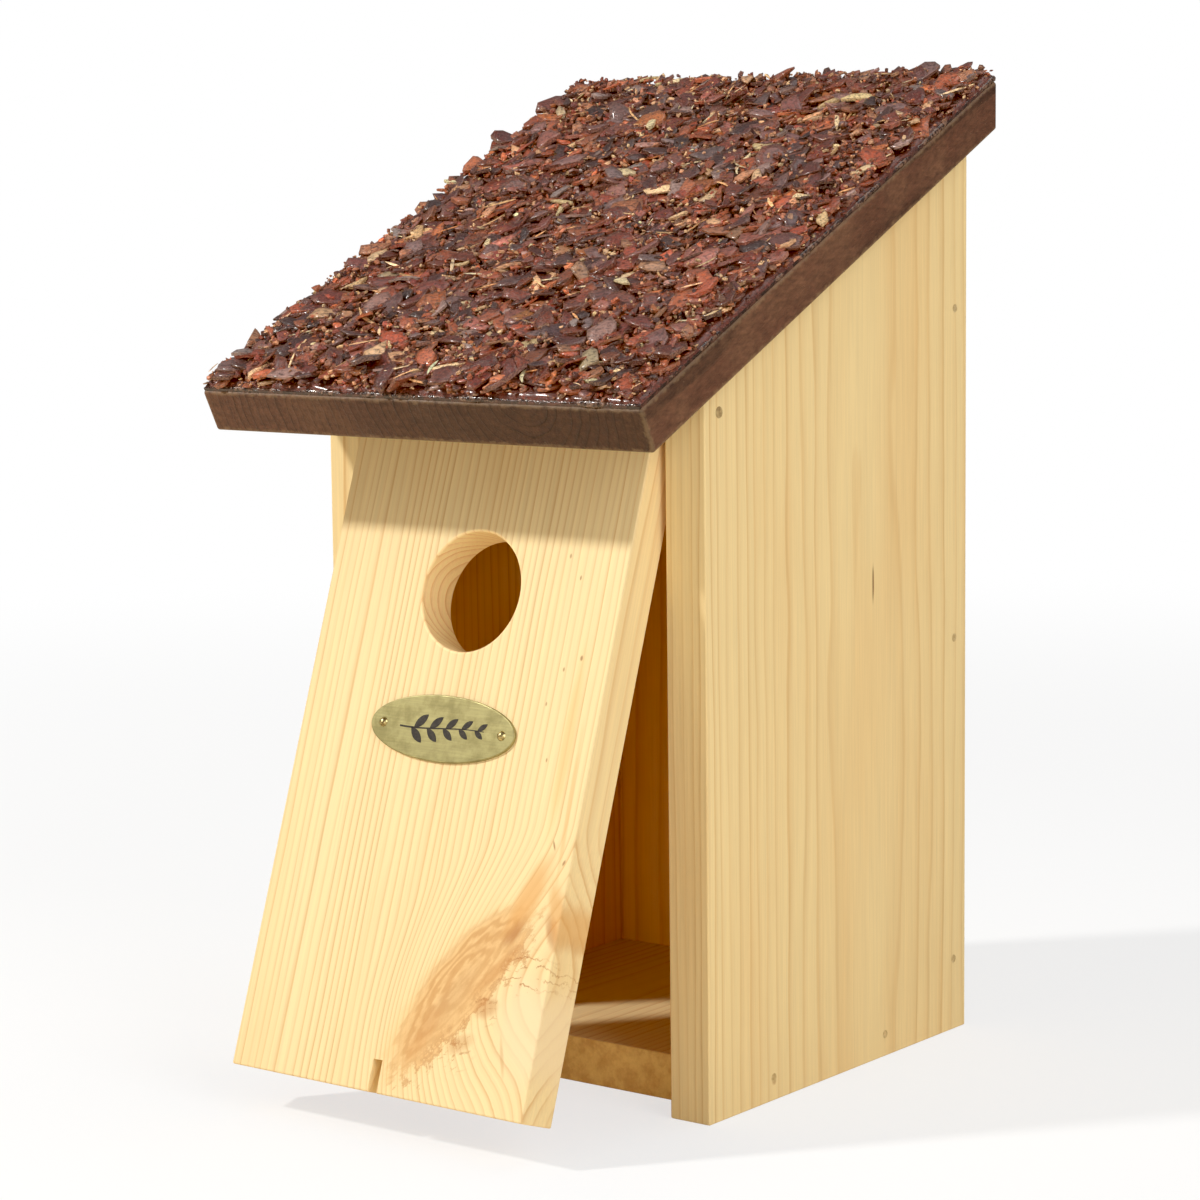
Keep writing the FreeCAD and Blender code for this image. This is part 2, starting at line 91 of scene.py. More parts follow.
def newNode(kind, inputs, tree=None, **settings):
    if tree is None:
        tree = next(value.id_data for value in inputs.values() if isSocket(value))
    node = tree.nodes.new("ShaderNode" + kind)
    for name, setting in settings.items():
        setattr(node, name, setting)
    for name, value in inputs.items():
        feed(node.inputs[name], value)
    return node


def calc(operation, *values):
    return newNode("Math", dict(enumerate(values)), operation=operation).outputs[0]


def times(first, second):
    return calc("MULTIPLY", first, second)


def plus(first, second):
    return calc("ADD", first, second)


def minus(first, second):
    return calc("SUBTRACT", first, second)


def vectorCalc(operation, *values):
    node = newNode("VectorMath", dict(enumerate(values)), operation=operation)
    return node.outputs["Value" if operation == "LENGTH" else "Vector"]


def scaled(vector, factor):
    return newNode("VectorMath", {0: vector, "Scale": factor}, operation="SCALE").outputs["Vector"]


def placed(vector, location=(0, 0, 0), rotation=(0, 0, 0), scale=(1, 1, 1)):
    inputs = {"Vector": vector, "Location": location, "Rotation": rotation, "Scale": scale}
    return newNode("Mapping", inputs).outputs["Vector"]


def turnedAboutY(vector, angle):
    node = newNode("VectorRotate", {"Vector": vector, "Angle": angle}, rotation_type="Y_AXIS")
    return node.outputs["Vector"]


def partsOf(vector):
    return newNode("SeparateXYZ", {0: vector}).outputs


def noiseAt(vector, scale, detail=3.0, roughness=0.55, output=0):
    # scale is in cells to the metre; output 0 is a value and 1 a colour
    inputs = {"Vector": vector, "Scale": scale, "Detail": detail, "Roughness": roughness}
    return newNode("TexNoise", inputs).outputs[output]


def ranged(value, low, high, toLow=0.0, toHigh=1.0, ease="SMOOTHSTEP"):
    inputs = {"Value": value, "From Min": low, "From Max": high, "To Min": toLow, "To Max": toHigh}
    return newNode("MapRange", inputs, interpolation_type=ease).outputs["Result"]


def evenly(value, low, high, toLow, toHigh):
    return ranged(value, low, high, toLow, toHigh, "LINEAR")


def ramped(value, stops):
    node = newNode("ValToRGB", {0: value})
    ramp = node.color_ramp
    while len(ramp.elements) < len(stops):
        ramp.elements.new(0.5)
    for element, (position, grey) in zip(ramp.elements, stops):
        element.position = position
        element.color = (grey, grey, grey, 1.0)
    return node.outputs["Color"]


def mixTones(factor, first, second, mode="MIX"):
    inputs = {0: factor, 6: first, 7: second}
    return newNode("Mix", inputs, data_type="RGBA", blend_type=mode).outputs[2]


def laid(colour, tone, mask, strength):
    # a tone laid over a colour by a mask times a strength
    return mixTones(times(mask, strength), colour, tone)


def brighten(colour, factor):
    # colour times a grey that may go above one
    grey = newNode("CombineColor", {0: factor, 1: factor, 2: factor}, colour.id_data)
    return mixTones(1.0, colour, grey.outputs[0], "MULTIPLY")


def newGroup(name, inputs, outputs):
    # an input's kind follows its value: a number, a colour of four, or a vector, which may have none
    tree = bpy.data.node_groups.new(name, "ShaderNodeTree")
    for label, value in inputs.items():
        kind = "Float" if isinstance(value, float) else "Color" if value and len(value) == 4 else "Vector"
        socket = tree.interface.new_socket(name=label, in_out="INPUT", socket_type="NodeSocket" + kind)
        if value is not None:
            socket.default_value = value
    for label in outputs:
        kind = "Color" if label == "Colour" else "Float"
        tree.interface.new_socket(name=label, in_out="OUTPUT", socket_type="NodeSocket" + kind)
    given = tree.nodes.new("NodeGroupInput").outputs
    result = tree.nodes.new("NodeGroupOutput").inputs
    return tree, given, result


def useGroup(group, **values):
    # socket names are written here with their spaces taken out
    node = values["Vector"].id_data.nodes.new("ShaderNodeGroup")
    node.node_tree = group
    for socket in node.inputs:
        word = socket.name.replace(" ", "")
        if word in values:
            feed(socket, values[word])
    return node.outputs


def newMaterial(name):
    material = bpy.data.materials.new(name)
    material.use_nodes = True
    shader = material.node_tree.nodes["Principled BSDF"]
    where = newNode("TexCoord", {}, material.node_tree).outputs["Object"]
    return material, shader, where


def finishShader(shader, colour, roughness, height, bump, **fixed):
    # bump is strength and distance; fixed values go on the shader's own sockets, named without spaces
    feed(shader.inputs["Base Color"], colour)
    feed(shader.inputs["Roughness"], roughness)
    relief = newNode("Bump", {"Strength": bump[0], "Distance": bump[1], "Height": height})
    feed(shader.inputs["Normal"], relief.outputs["Normal"])
    for socket in shader.inputs:
        word = socket.name.replace(" ", "")
        if word in fixed:
            socket.default_value = fixed[word]


def finishNode(name, material):
    meshData = cadNodes[name].data
    meshData.materials.clear()
    meshData.materials.append(material)


def newPiece(name, points, faces, material, body, smooth=True, tones=None):
    meshData = bpy.data.meshes.new(name)
    meshData.from_pydata(points.tolist(), [], faces)
    meshData.update()
    flags = np.full(len(meshData.polygons), smooth) if isinstance(smooth, bool) else smooth
    meshData.polygons.foreach_set("use_smooth", flags)
    if tones is not None:
        layer = meshData.attributes.new("tone", "FLOAT_COLOR", "POINT")
        layer.data.foreach_set("color", tones.astype(np.float32).ravel())
    meshData.materials.append(material)
    piece = bpy.data.objects.new(name, meshData)
    bpy.context.scene.collection.objects.link(piece)
    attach(piece, body)
    return piece


# shared effects

grainValues = {
    "waves": ((0.13, 55.0, 3.2), (0.09, 240.0, 0.5)),  # stretch along Z, scale, share of Waviness
    "driftScale": 95.0,
    "fibreScale": 1500.0,
    "blotchScale": 34.0,
    "poreScale": 1100.0,
    # share of a ring's width, and how much late wood is there
    "ringProfile": ((0.0, 0.1), (0.12, 0.0), (0.5, 0.05), (0.78, 0.45), (0.9, 1.0), (0.97, 0.7), (1.0, 0.1)),
}


def makeGrainGroup():
    # rings round a pith line on Z, uneven in width, with fibres drawn out along Z
    v = grainValues
    tree, given, result = newGroup("boardGrain", {
        "Vector": None,
        "Ring Width": 0.0022,
        "Waviness": 0.0016,
        "Uneven": 2.4,
        "Early Tone": shade(232, 206, 152),
        "Late Tone": shade(205, 165, 108),
        "Deep Tone": shade(222, 182, 120),
        "Contrast": 0.7,
        "End Grain": 0.0,
    }, ("Colour", "Height", "Roughness"))
    vector = given["Vector"]
    bent = vector
    for stretch, scale, reach in v["waves"]:
        wave = noiseAt(placed(vector, scale=(1, 1, stretch)), scale, 2.0, output=1)
        wave = scaled(vectorCalc("SUBTRACT", wave, (0.5, 0.5, 0.5)), times(given["Waviness"], reach))
        bent = vectorCalc("ADD", bent, wave)
    radius = vectorCalc("LENGTH", vectorCalc("MULTIPLY", bent, (1.0, 1.0, 0.0)))
    drift = newNode("TexNoise", {"W": radius, "Scale": v["driftScale"], "Detail": 2.0}, noise_dimensions="1D")
    drift = times(minus(drift.outputs[0], 0.5), given["Uneven"])
    phase = plus(calc("DIVIDE", radius, given["Ring Width"]), drift)
    late = ramped(calc("FRACT", phase), v["ringProfile"])
    ringChance = newNode("TexWhiteNoise", {"W": calc("FLOOR", phase)}, noise_dimensions="1D").outputs["Value"]
    late = times(late, evenly(ringChance, 0.0, 1.0, 0.35, 1.0))
    fibre = noiseAt(placed(vector, scale=(1, 1, 0.022)), v["fibreScale"], 3.0, 0.6)
    blotch = noiseAt(placed(vector, scale=(1, 1, 0.16)), v["blotchScale"])
    ends = given["End Grain"]
    strength = times(given["Contrast"], minus(1.0, times(ends, 0.4)))
    colour = laid(given["Early Tone"], given["Late Tone"], late, strength)
    colour = mixTones(ranged(blotch, 0.45, 0.78, 0.0, 0.38), colour, given["Deep Tone"])
    colour = brighten(colour, evenly(fibre, 0.25, 0.75, 0.93, 1.05))
    pores = noiseAt(vector, v["poreScale"], 4.0, 0.7)
    endTone = brighten(mixTones(0.5, colour, given["Late Tone"]), evenly(pores, 0.3, 0.7, 0.78, 1.16))
    feed(result["Colour"], mixTones(ends, colour, endTone))
    feed(result["Height"], plus(times(late, 0.5), times(fibre, 0.7)))
    feed(result["Roughness"], evenly(fibre, 0.3, 0.7, 0.52, 0.68))
    return tree


def makeSpotGroup():
    # one ragged spot: full inside an ellipsoid of half sizes Size about Centre, gone just outside it
    tree, given, result = newGroup("woodSpot", {
        "Vector": None,
        "Centre": (0.0, 0.0, 0.0),
        "Size": (0.001, 0.01, 0.001),
        "Turn": 0.0,
        "Ragged": 0.4,
        "Soft": 0.5,
        "Noise Scale": 400.0,
    }, ("Mask",))
    offset = turnedAboutY(vectorCalc("SUBTRACT", given["Vector"], given["Centre"]), given["Turn"])
    reach = vectorCalc("LENGTH", vectorCalc("DIVIDE", offset, given["Size"]))
    rough = noiseAt(placed(offset, scale=(1.0, 1.0, 0.2)), given["Noise Scale"], 4.0, 0.65)
    reach = plus(reach, times(minus(rough, 0.5), given["Ragged"]))
    feed(result["Mask"], ranged(reach, minus(1.0, given["Soft"]), 1.0, 1.0, 0.0))
    return tree


def makeMetalGroup():
    # blotches, fine one-way scratches and a dulled film
    tree, given, result = newGroup("rubbedMetal", {
        "Vector": None,
        "Bright Tone": shade(190, 188, 182),
        "Dull Tone": shade(130, 126, 118),
        "Blotch Scale": 300.0,
        "Scratch Scale": 2500.0,
        "Roughness": 0.35,
    }, ("Colour", "Roughness", "Height"))
    blotch = noiseAt(given["Vector"], given["Blotch Scale"], 4.0, 0.6)
    scratch = noiseAt(placed(given["Vector"], scale=(0.03, 1, 1)), given["Scratch Scale"], 2.0)
    film = ranged(blotch, 0.35, 0.68)
    colour = mixTones(film, given["Bright Tone"], given["Dull Tone"])
    feed(result["Colour"], brighten(colour, evenly(scratch, 0.3, 0.7, 0.9, 1.08)))
    spread = plus(times(film, 0.14), times(scratch, 0.12))
    feed(result["Roughness"], plus(given["Roughness"], spread))
    feed(result["Height"], plus(scratch, times(blotch, 0.6)))
    return tree


def makeChipGroup():
    # each chip's own tone, broken up by layers and specks
    tree, given, result = newGroup("chipSurface", {
        "Vector": None,
        "Tone": (0.1, 0.05, 0.03, 1.0),
        "Dark Tone": shade(48, 24, 20),
        "Dust Tone": shade(176, 128, 104),
        "Rim": 0.0,
        "Streak Scale": 900.0,
        "Dust": 0.25,
    }, ("Colour", "Roughness", "Height"))
    layers = noiseAt(placed(given["Vector"], scale=(1, 1, 2.2)), given["Streak Scale"], 4.0, 0.62)
    specks = noiseAt(given["Vector"], times(given["Streak Scale"], 2.6), 2.0)
    colour = mixTones(ranged(layers, 0.5, 0.72, 0.0, 0.75), given["Tone"], given["Dark Tone"])
    colour = brighten(colour, evenly(layers, 0.25, 0.6, 1.75, 0.76))
    worn = times(ranged(given["Rim"], 0.55, 1.0), ranged(specks, 0.42, 0.6, 0.0, 0.6))
    dusty = times(ranged(specks, 0.58, 0.7), given["Dust"])
    dusty = calc("MAXIMUM", dusty, times(worn, 0.55))
    feed(result["Colour"], mixTones(dusty, colour, given["Dust Tone"]))
    feed(result["Roughness"], evenly(layers, 0.35, 0.7, 0.24, 0.6))
    feed(result["Height"], plus(layers, times(specks, 0.5)))
    return tree


boardGrain = makeGrainGroup()
woodSpot = makeSpotGroup()
rubbedMetal = makeMetalGroup()
chipSurface = makeChipGroup()
print("node groups made:", len(bpy.data.node_groups))


# pine boards

pineValues = {
    "early": shade(239, 215, 162),
    "late": shade(208, 166, 108),
    "deep": shade(230, 190, 130),
    # painted shade for the faces inside the box: the tone they are multiplied by and how much it is lifted
    "inner": shade(255, 217, 148),
    "innerLift": 1.2,
    "endPale": shade(252, 216, 130),
    "endDark": shade(222, 172, 96),
    "pocket": shade(120, 78, 40),
    "resin": shade(150, 88, 40),
    "waviness": 1.0 * mm,
    "uneven": 1.6,
    "bump": (0.35, 0.25 * mm),  # strength and distance
    "specular": 0.35,
}


def spotMask(vector, centre, size, turn, ragged, soft, noiseScale):
    return useGroup(woodSpot, Vector=vector, Centre=centre, Size=size, Turn=turn, Ragged=ragged, Soft=soft,
                    NoiseScale=noiseScale)["Mask"]


def sideMask(vector, axis, low, high):
    # zero on one side of a plane across an axis and one on the other
    return ranged(partsOf(vector)[axis], low, high)


def paintInteriorShade(colour, mask):
    # painted shade: the faces inside the box take a deeper and warmer tone, lifted a little, standing in for
    # the dim orange light bounced round inside the box
    warm = mixTones(1.0, colour, pineValues["inner"], "MULTIPLY")
    return laid(colour, brighten(warm, pineValues["innerLift"]), mask, 0.8)


def finishPine(shader, grain, colour):
    finishShader(shader, colour, grain["Roughness"], grain["Height"], pineValues["bump"],
                 SpecularIORLevel=pineValues["specular"])


def boardMaterial(name, pith, ringWidth, turn=None, contrast=0.85, spots=(), inner=None, ends=None):
    # pith is the board's heart line in X and Y; turn lays the grain along another axis first;
    # the inside range and ends are each an axis and the two places on it between which a face's own tone
    # comes in:
    # painted shade on the faces inside the box, end grain on the cut ends
    v = pineValues
    material, shader, where = newMaterial(name)
    vector = placed(where, rotation=turn) if turn else where
    vector = placed(vector, (-pith[0], -pith[1], 0.0))
    cut = sideMask(where, *ends) if ends else 0.0
    grain = useGroup(boardGrain, Vector=vector, RingWidth=ringWidth, Contrast=contrast, EndGrain=cut,
                     Waviness=v["waviness"], Uneven=v["uneven"], EarlyTone=v["early"], LateTone=v["late"],
                     DeepTone=v["deep"])
    colour = grain["Colour"]
    if ends:
        mottle = noiseAt(where, 210.0, 4.0, 0.65)
        endTone = mixTones(ranged(mottle, 0.36, 0.66), v["endPale"], v["endDark"])
        colour = laid(colour, endTone, cut, 0.7)
    # painted shade on the board's faces inside the box
    if inner:
        colour = paintInteriorShade(colour, sideMask(where, *inner))
    for centre, size, strength, tone in spots:
        colour = laid(colour, tone, spotMask(where, inMm(centre), inMm(size), 0.0, 0.5, 0.6, 900.0), strength)
    finishPine(shader, grain, colour)
    return material


# a board's inside range marks the faces that take the painted shade of the inside
boardValues = {
    "right_side_panel": {
        "name": "pineRightSide",
        "pith": (-34.0 * mm, 12.0 * mm),
        "ringWidth": 2.05 * mm,
        "contrast": 0.66,
        "inner": (0, 50.9 * mm, 50.6 * mm),
        "spots": (
            ((63.0, 14.6, 132.0), (3.0, 0.55, 6.5), 0.85, pineValues["pocket"]),
            ((63.0, 56.6, 20.4), (3.0, 0.7, 0.9), 0.7, pineValues["resin"]),
            ((63.0, -33.4, 5.3), (3.0, 1.2, 1.4), 0.4, pineValues["resin"]),
        ),
    },
    "left_side_panel": {
        "name": "pineLeftSide",
        "pith": (-20.0 * mm, 24.0 * mm),
        "ringWidth": 2.5 * mm,
        "inner": (0, -50.9 * mm, -50.6 * mm),
        "spots": (((-63.0, -18.0, 74.0), (3.0, 2.6, 3.4), 0.75, pineValues["resin"]),),
    },
    "back_panel": {
        "name": "pineBack",
        "pith": (-14.0 * mm, 118.0 * mm),
        "ringWidth": 2.4 * mm,
        "inner": (1, 50.4 * mm, 50.1 * mm),
    },
    "floor_board": {
        "name": "pineFloor",
        "pith": (-12.0 * mm, -36.0 * mm),
        "ringWidth": 2.1 * mm,
        "turn": (math.radians(90), 0, 0),
        "contrast": 0.8,
        "ends": (1, -48.6 * mm, -48.9 * mm),
    },
}

for nodeName, values in boardValues.items():
    finishNode(nodeName, boardMaterial(**values))


# the door: places and half sizes are across it, out of it and up it from the pivot line

doorValues = {
    "pivot": (0.0, -56.25 * mm, 183.0 * mm),
    "openingAngle": math.radians(19.0),
    "early": shade(244, 220, 168),
    "late": shade(214, 168, 112),
    "deep": shade(238, 202, 144),
    "pith": (-150.0 * mm, 80.0 * mm),
    "ringWidth": 2.05 * mm,
    "waviness": 0.9 * mm,
    "uneven": 1.0,
    "deflection": 19.0 * mm,
    "deflectionCentre": (29.0 * mm, 0.0, -154.0 * mm),
    "deflectionSize": (36.0 * mm, 60.0 * mm, 52.0 * mm),
    "entranceDrop": 52.0 * mm,
    "entranceRadius": 16.0 * mm,
    # the door's inner face takes the painted shade of the inside
    "innerFace": (5.9 * mm, 6.1 * mm),
}

knotValues = {
    "centre": (21.5 * mm, 0.0, -152.5 * mm),
    "size": (10.5 * mm, 40.0 * mm, 32.0 * mm),
    "turn": math.radians(-37.0),
    "haloReach": 1.2,
    "haloTone": shade(238, 196, 132),
    "swirl": 0.9,
    "fray": 1.9,
    "ringRate": 40.0,
    "ringFray": 0.07,
    "paleTone": shade(232, 192, 134),
    "darkTone": shade(216, 170, 112),
    "ringTone": shade(200, 146, 86),
    "rimTone": shade(186, 124, 66),
    "coreCentre": (19.0 * mm, 0.0, -157.0 * mm),
    "coreSize": (5.0 * mm, 40.0 * mm, 20.0 * mm),
    "coreTone": shade(200, 158, 108),
    "heartCentre": (45 * mm, 0, -160 * mm),
    "heartSize": (12 * mm, 40 * mm, 18 * mm),
    "heartTurn": 0.25,
    "heartTone": shade(242, 218, 176),
}

crackValues = {
    "centre": (44.0 * mm, 0.0, -146.0 * mm),
    "bow": 16.0,
    "step": 2.4 * mm,
    "drift": 6.5 * mm,
    "noiseScale": 260.0,
    "tone": shade(178, 116, 62),
    # centre and half size in mm, strength
    "zones": (
        ((41, 0, -146), (13, 40, 7.5), 0.85),
        ((30, 0, -157), (7, 40, 5.5), 0.8),
        ((24, 0, -169), (8, 40, 6.0), 0.6),
    ),
}

# brown streaks, warm patches and specks of resin: across and up in mm, half sizes, turn, strength, tone
doorMarks = (
    (35.5, -136.5, 2.4, 6.5, -0.62, 0.62, (168, 106, 54)),
    (46.7, -135.0, 2.2, 6.0, 0.35, 0.6, (176, 112, 58)),
    (31.0, -156.5, 5.0, 3.4, 0.4, 0.5, (188, 124, 66)),
    (25.0, -166.5, 6.0, 2.8, 0.5, 0.4, (192, 134, 78)),
    (39.0, -168.0, 0.8, 7.0, 0.3, 0.35, (196, 142, 86)),
    (38.0, -127.0, 4.6, 15.0, -0.42, 0.68, (222, 166, 98)),
    (47.5, -131.0, 3.2, 12.0, 0.3, 0.62, (216, 160, 92)),
    (33.0, -146.0, 2.0, 14.0, -0.72, 0.45, (196, 134, 72)),
    (13.0, -166.0, 3.2, 12.0, -0.5, 0.35, (206, 146, 84)),
    (40.5, -88.0, 2.6, 34.0, 0.0, 0.42, (240, 190, 118)),
    (44.8, -104.0, 1.0, 26.0, 0.03, 0.4, (226, 170, 104)),
    (30.2, -40.7, 0.5, 0.9, 0.0, 0.6, (150, 96, 48)),
    (34.7, -46.1, 0.4, 0.9, 0.0, 0.7, (150, 96, 48)),
    (39.8, -66.5, 0.6, 1.0, 0.0, 0.7, (140, 84, 40)),
    (34.9, -69.8, 0.45, 0.8, 0.0, 0.6, (150, 92, 44)),
    (31.5, -79.0, 0.4, 0.8, 0.0, 0.6, (160, 100, 50)),
    (35.0, -93.1, 0.4, 0.8, 0.0, 0.6, (160, 100, 50)),
    (42.5, -114.0, 0.4, 1.8, 0.4, 0.7, (150, 90, 44)),
    (46.5, -118.0, 0.5, 1.1, -0.4, 0.7, (150, 90, 44)),
)


def knotTones(colour, local):
    # the warm lens beside the knot: distance in half sizes, bent by a slow swirl, with long rings of its own;
    # its left side is clean and its right side torn
    v = knotValues
    around = tuple(v["haloReach"] * size for size in v["size"])
    halo = spotMask(local, v["centre"], around, v["turn"], 0.7, 0.5, 120.0)
    colour = laid(colour, v["haloTone"], halo, 0.5)
    offset = turnedAboutY(vectorCalc("SUBTRACT", local, v["centre"]), v["turn"])
    share = vectorCalc("DIVIDE", offset, v["size"])
    swirl = minus(noiseAt(placed(share, scale=(1.0, 1.0, 0.7)), 1.5, 3.0, 0.6), 0.5)
    fray = minus(noiseAt(placed(share, scale=(1.0, 1.0, 1.6)), 5.0, 5.0, 0.7), 0.5)
    rightness = ranged(partsOf(share)[0], -0.4, 0.8, 0.12, 1.0)
    reach = plus(vectorCalc("LENGTH", share), times(swirl, v["swirl"]))
    torn = plus(reach, times(times(fray, rightness), v["fray"]))
    rings = calc("SINE", times(plus(reach, times(fray, v["ringFray"])), v["ringRate"]))
    ringShow = ranged(rightness, 0.12, 1.0, 0.75, 0.3)
    tone = mixTones(ranged(fray, -0.16, 0.2), v["paleTone"], v["darkTone"])
    tone = laid(tone, v["ringTone"], ranged(rings, -1.0, 1.0), ringShow)
    colour = laid(colour, tone, ranged(torn, 0.66, 1.0, 1.0, 0.0), 0.86)
    rim = ranged(calc("ABSOLUTE", minus(torn, 0.86)), 0.0, 0.2, 1.0, 0.0)
    colour = laid(colour, v["rimTone"], times(rim, ranged(rightness, 0.5, 1.0)), 0.55)
    core = spotMask(local, v["coreCentre"], v["coreSize"], v["turn"], 0.9, 0.9, 160.0)
    colour = laid(colour, v["coreTone"], core, 0.4)
    # the pale heart of the knot to its right
    heart = spotMask(local, v["heartCentre"], v["heartSize"], v["heartTurn"], 0.5, 0.6, 120.0)
    return laid(colour, v["heartTone"], heart, 0.75)


def crackTones(colour, local):
    # fine cracks across the pale heart: lines at even steps of height plus bow times across squared plus a
    # drift by chance, broken up by a second noise
    v = crackValues
    across, out, up = partsOf(vectorCalc("SUBTRACT", local, v["centre"]))
    bow = times(times(across, across), v["bow"])
    drift = times(minus(noiseAt(local, v["noiseScale"], 4.0, 0.65), 0.5), v["drift"])
    step = calc("FRACT", calc("DIVIDE", plus(plus(up, bow), drift), v["step"]))
    thin = ranged(calc("ABSOLUTE", minus(step, 0.5)), 0.02, 0.17, 1.0, 0.0)
    broken = ranged(noiseAt(placed(local, scale=(1, 0.3, 2.4)), v["noiseScale"]), 0.45, 0.58)
    thin = times(thin, broken)
    for centre, size, strength in v["zones"]:
        zone = spotMask(local, inMm(centre), inMm(size), 0.0, 0.5, 0.7, 200.0)
        colour = laid(colour, v["tone"], times(thin, zone), strength)
    return colour


def doorMaterial():
    # the pattern is drawn upright about the pivot and turned with the open door
    v = doorValues
    material, shader, where = newMaterial("pineDoor")
    offset = Matrix.Rotation(v["openingAngle"], 3, "X") @ Vector(v["pivot"])
    local = placed(where, tuple(-offset), (v["openingAngle"], 0, 0))
    # the grain is pushed aside round the knot
    push = spotMask(local, v["deflectionCentre"], v["deflectionSize"], knotValues["turn"], 0.05, 1.0, 60.0)
    shift = newNode("CombineXYZ", {"X": times(push, v["deflection"])}).outputs[0]
    grainVector = placed(vectorCalc("ADD", local, shift), (-v["pith"][0], -v["pith"][1], 0.0))
    fromHole = vectorCalc("MULTIPLY", vectorCalc("ADD", local, (0, 0, v["entranceDrop"])), (1, 0, 1))
    bore = ranged(vectorCalc("LENGTH", fromHole), v["entranceRadius"] + 0.4 * mm,
                  v["entranceRadius"] + 0.8 * mm, 0.2, 0.0)
    grain = useGroup(boardGrain, Vector=grainVector, RingWidth=v["ringWidth"], Contrast=0.85, EndGrain=bore,
                     Waviness=v["waviness"], Uneven=v["uneven"], EarlyTone=v["early"], LateTone=v["late"],
                     DeepTone=v["deep"])
    colour = brighten(grain["Colour"], evenly(bore, 0.0, 0.2, 1.0, 1.18))
    # painted shade on the door's inner face
    colour = paintInteriorShade(colour, sideMask(local, 1, *v["innerFace"]))
    colour = crackTones(knotTones(colour, local), local)
    for across, up, halfAcross, halfUp, turn, strength, tone in doorMarks:
        place, extent = inMm((across, 0.0, up)), inMm((halfAcross, 40.0, halfUp))
        mask = spotMask(local, place, extent, turn, 0.6, 0.7, 700.0 if halfAcross < 2 else 250.0)
        colour = laid(colour, shade(*tone), mask, strength)
    finishPine(shader, grain, colour)
    return material


finishNode("front_door", doorMaterial())
print("pine boards finished")


# roof: stained board, glue and bark

roofValues = {
    "slope": math.radians(26.0),
    "boardThickness": 12.0 * mm,
    "boardHalf": 72.5 * mm,
    "halfWidth": 72.35 * mm,
    "rear": 62.4 * mm,
}
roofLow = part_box("roof_board")[0]
slopeSin, slopeCos = math.sin(roofValues["slope"]), math.cos(roofValues["slope"])
frontEdge = Vector((0.0, roofLow.y + roofValues["boardThickness"] * slopeSin, roofLow.z))
topLimit = cadBox[1].z - 0.05 * mm


def onRoof(across, along, height):
    # place on the roof: across it, up its slope from the front cut, and out from its underside
    y = frontEdge.y + along * slopeCos - height * slopeSin
    z = frontEdge.z + along * slopeSin + height * slopeCos
    points = np.stack([across + 0 * y, y, z], axis=-1)
    points[..., 0] = np.clip(points[..., 0], -roofValues["halfWidth"], roofValues["halfWidth"])
    points[..., 1] = np.minimum(points[..., 1], roofValues["rear"])
    points[..., 2] = np.minimum(points[..., 2], topLimit)
    return points


def rearAlong(height):
    return (roofValues["rear"] - frontEdge.y + height * slopeSin) / slopeCos


stainValues = {
    "pith": (36.0 * mm, 13.0 * mm),
    "ringWidth": 2.6 * mm,
    "dark": shade(54, 33, 24),
    "light": shade(122, 89, 66),
    "deep": shade(94, 60, 45),
    "speck": shade(156, 128, 104),
    "rubbed": shade(150, 124, 92),
    "wornScale": 160.0,
    "brushScale": 900.0,
    "sawScale": 760.0,
    "speckScale": 1300.0,
    "wearScale": 520.0,
    "wearWidth": 1.3 * mm,
    "wearRagged": 3.2 * mm,
    "frontFrom": -60.0 * mm,
    "frontTo": 20.0 * mm,
    "frontShade": (0.88, 0.46),
}


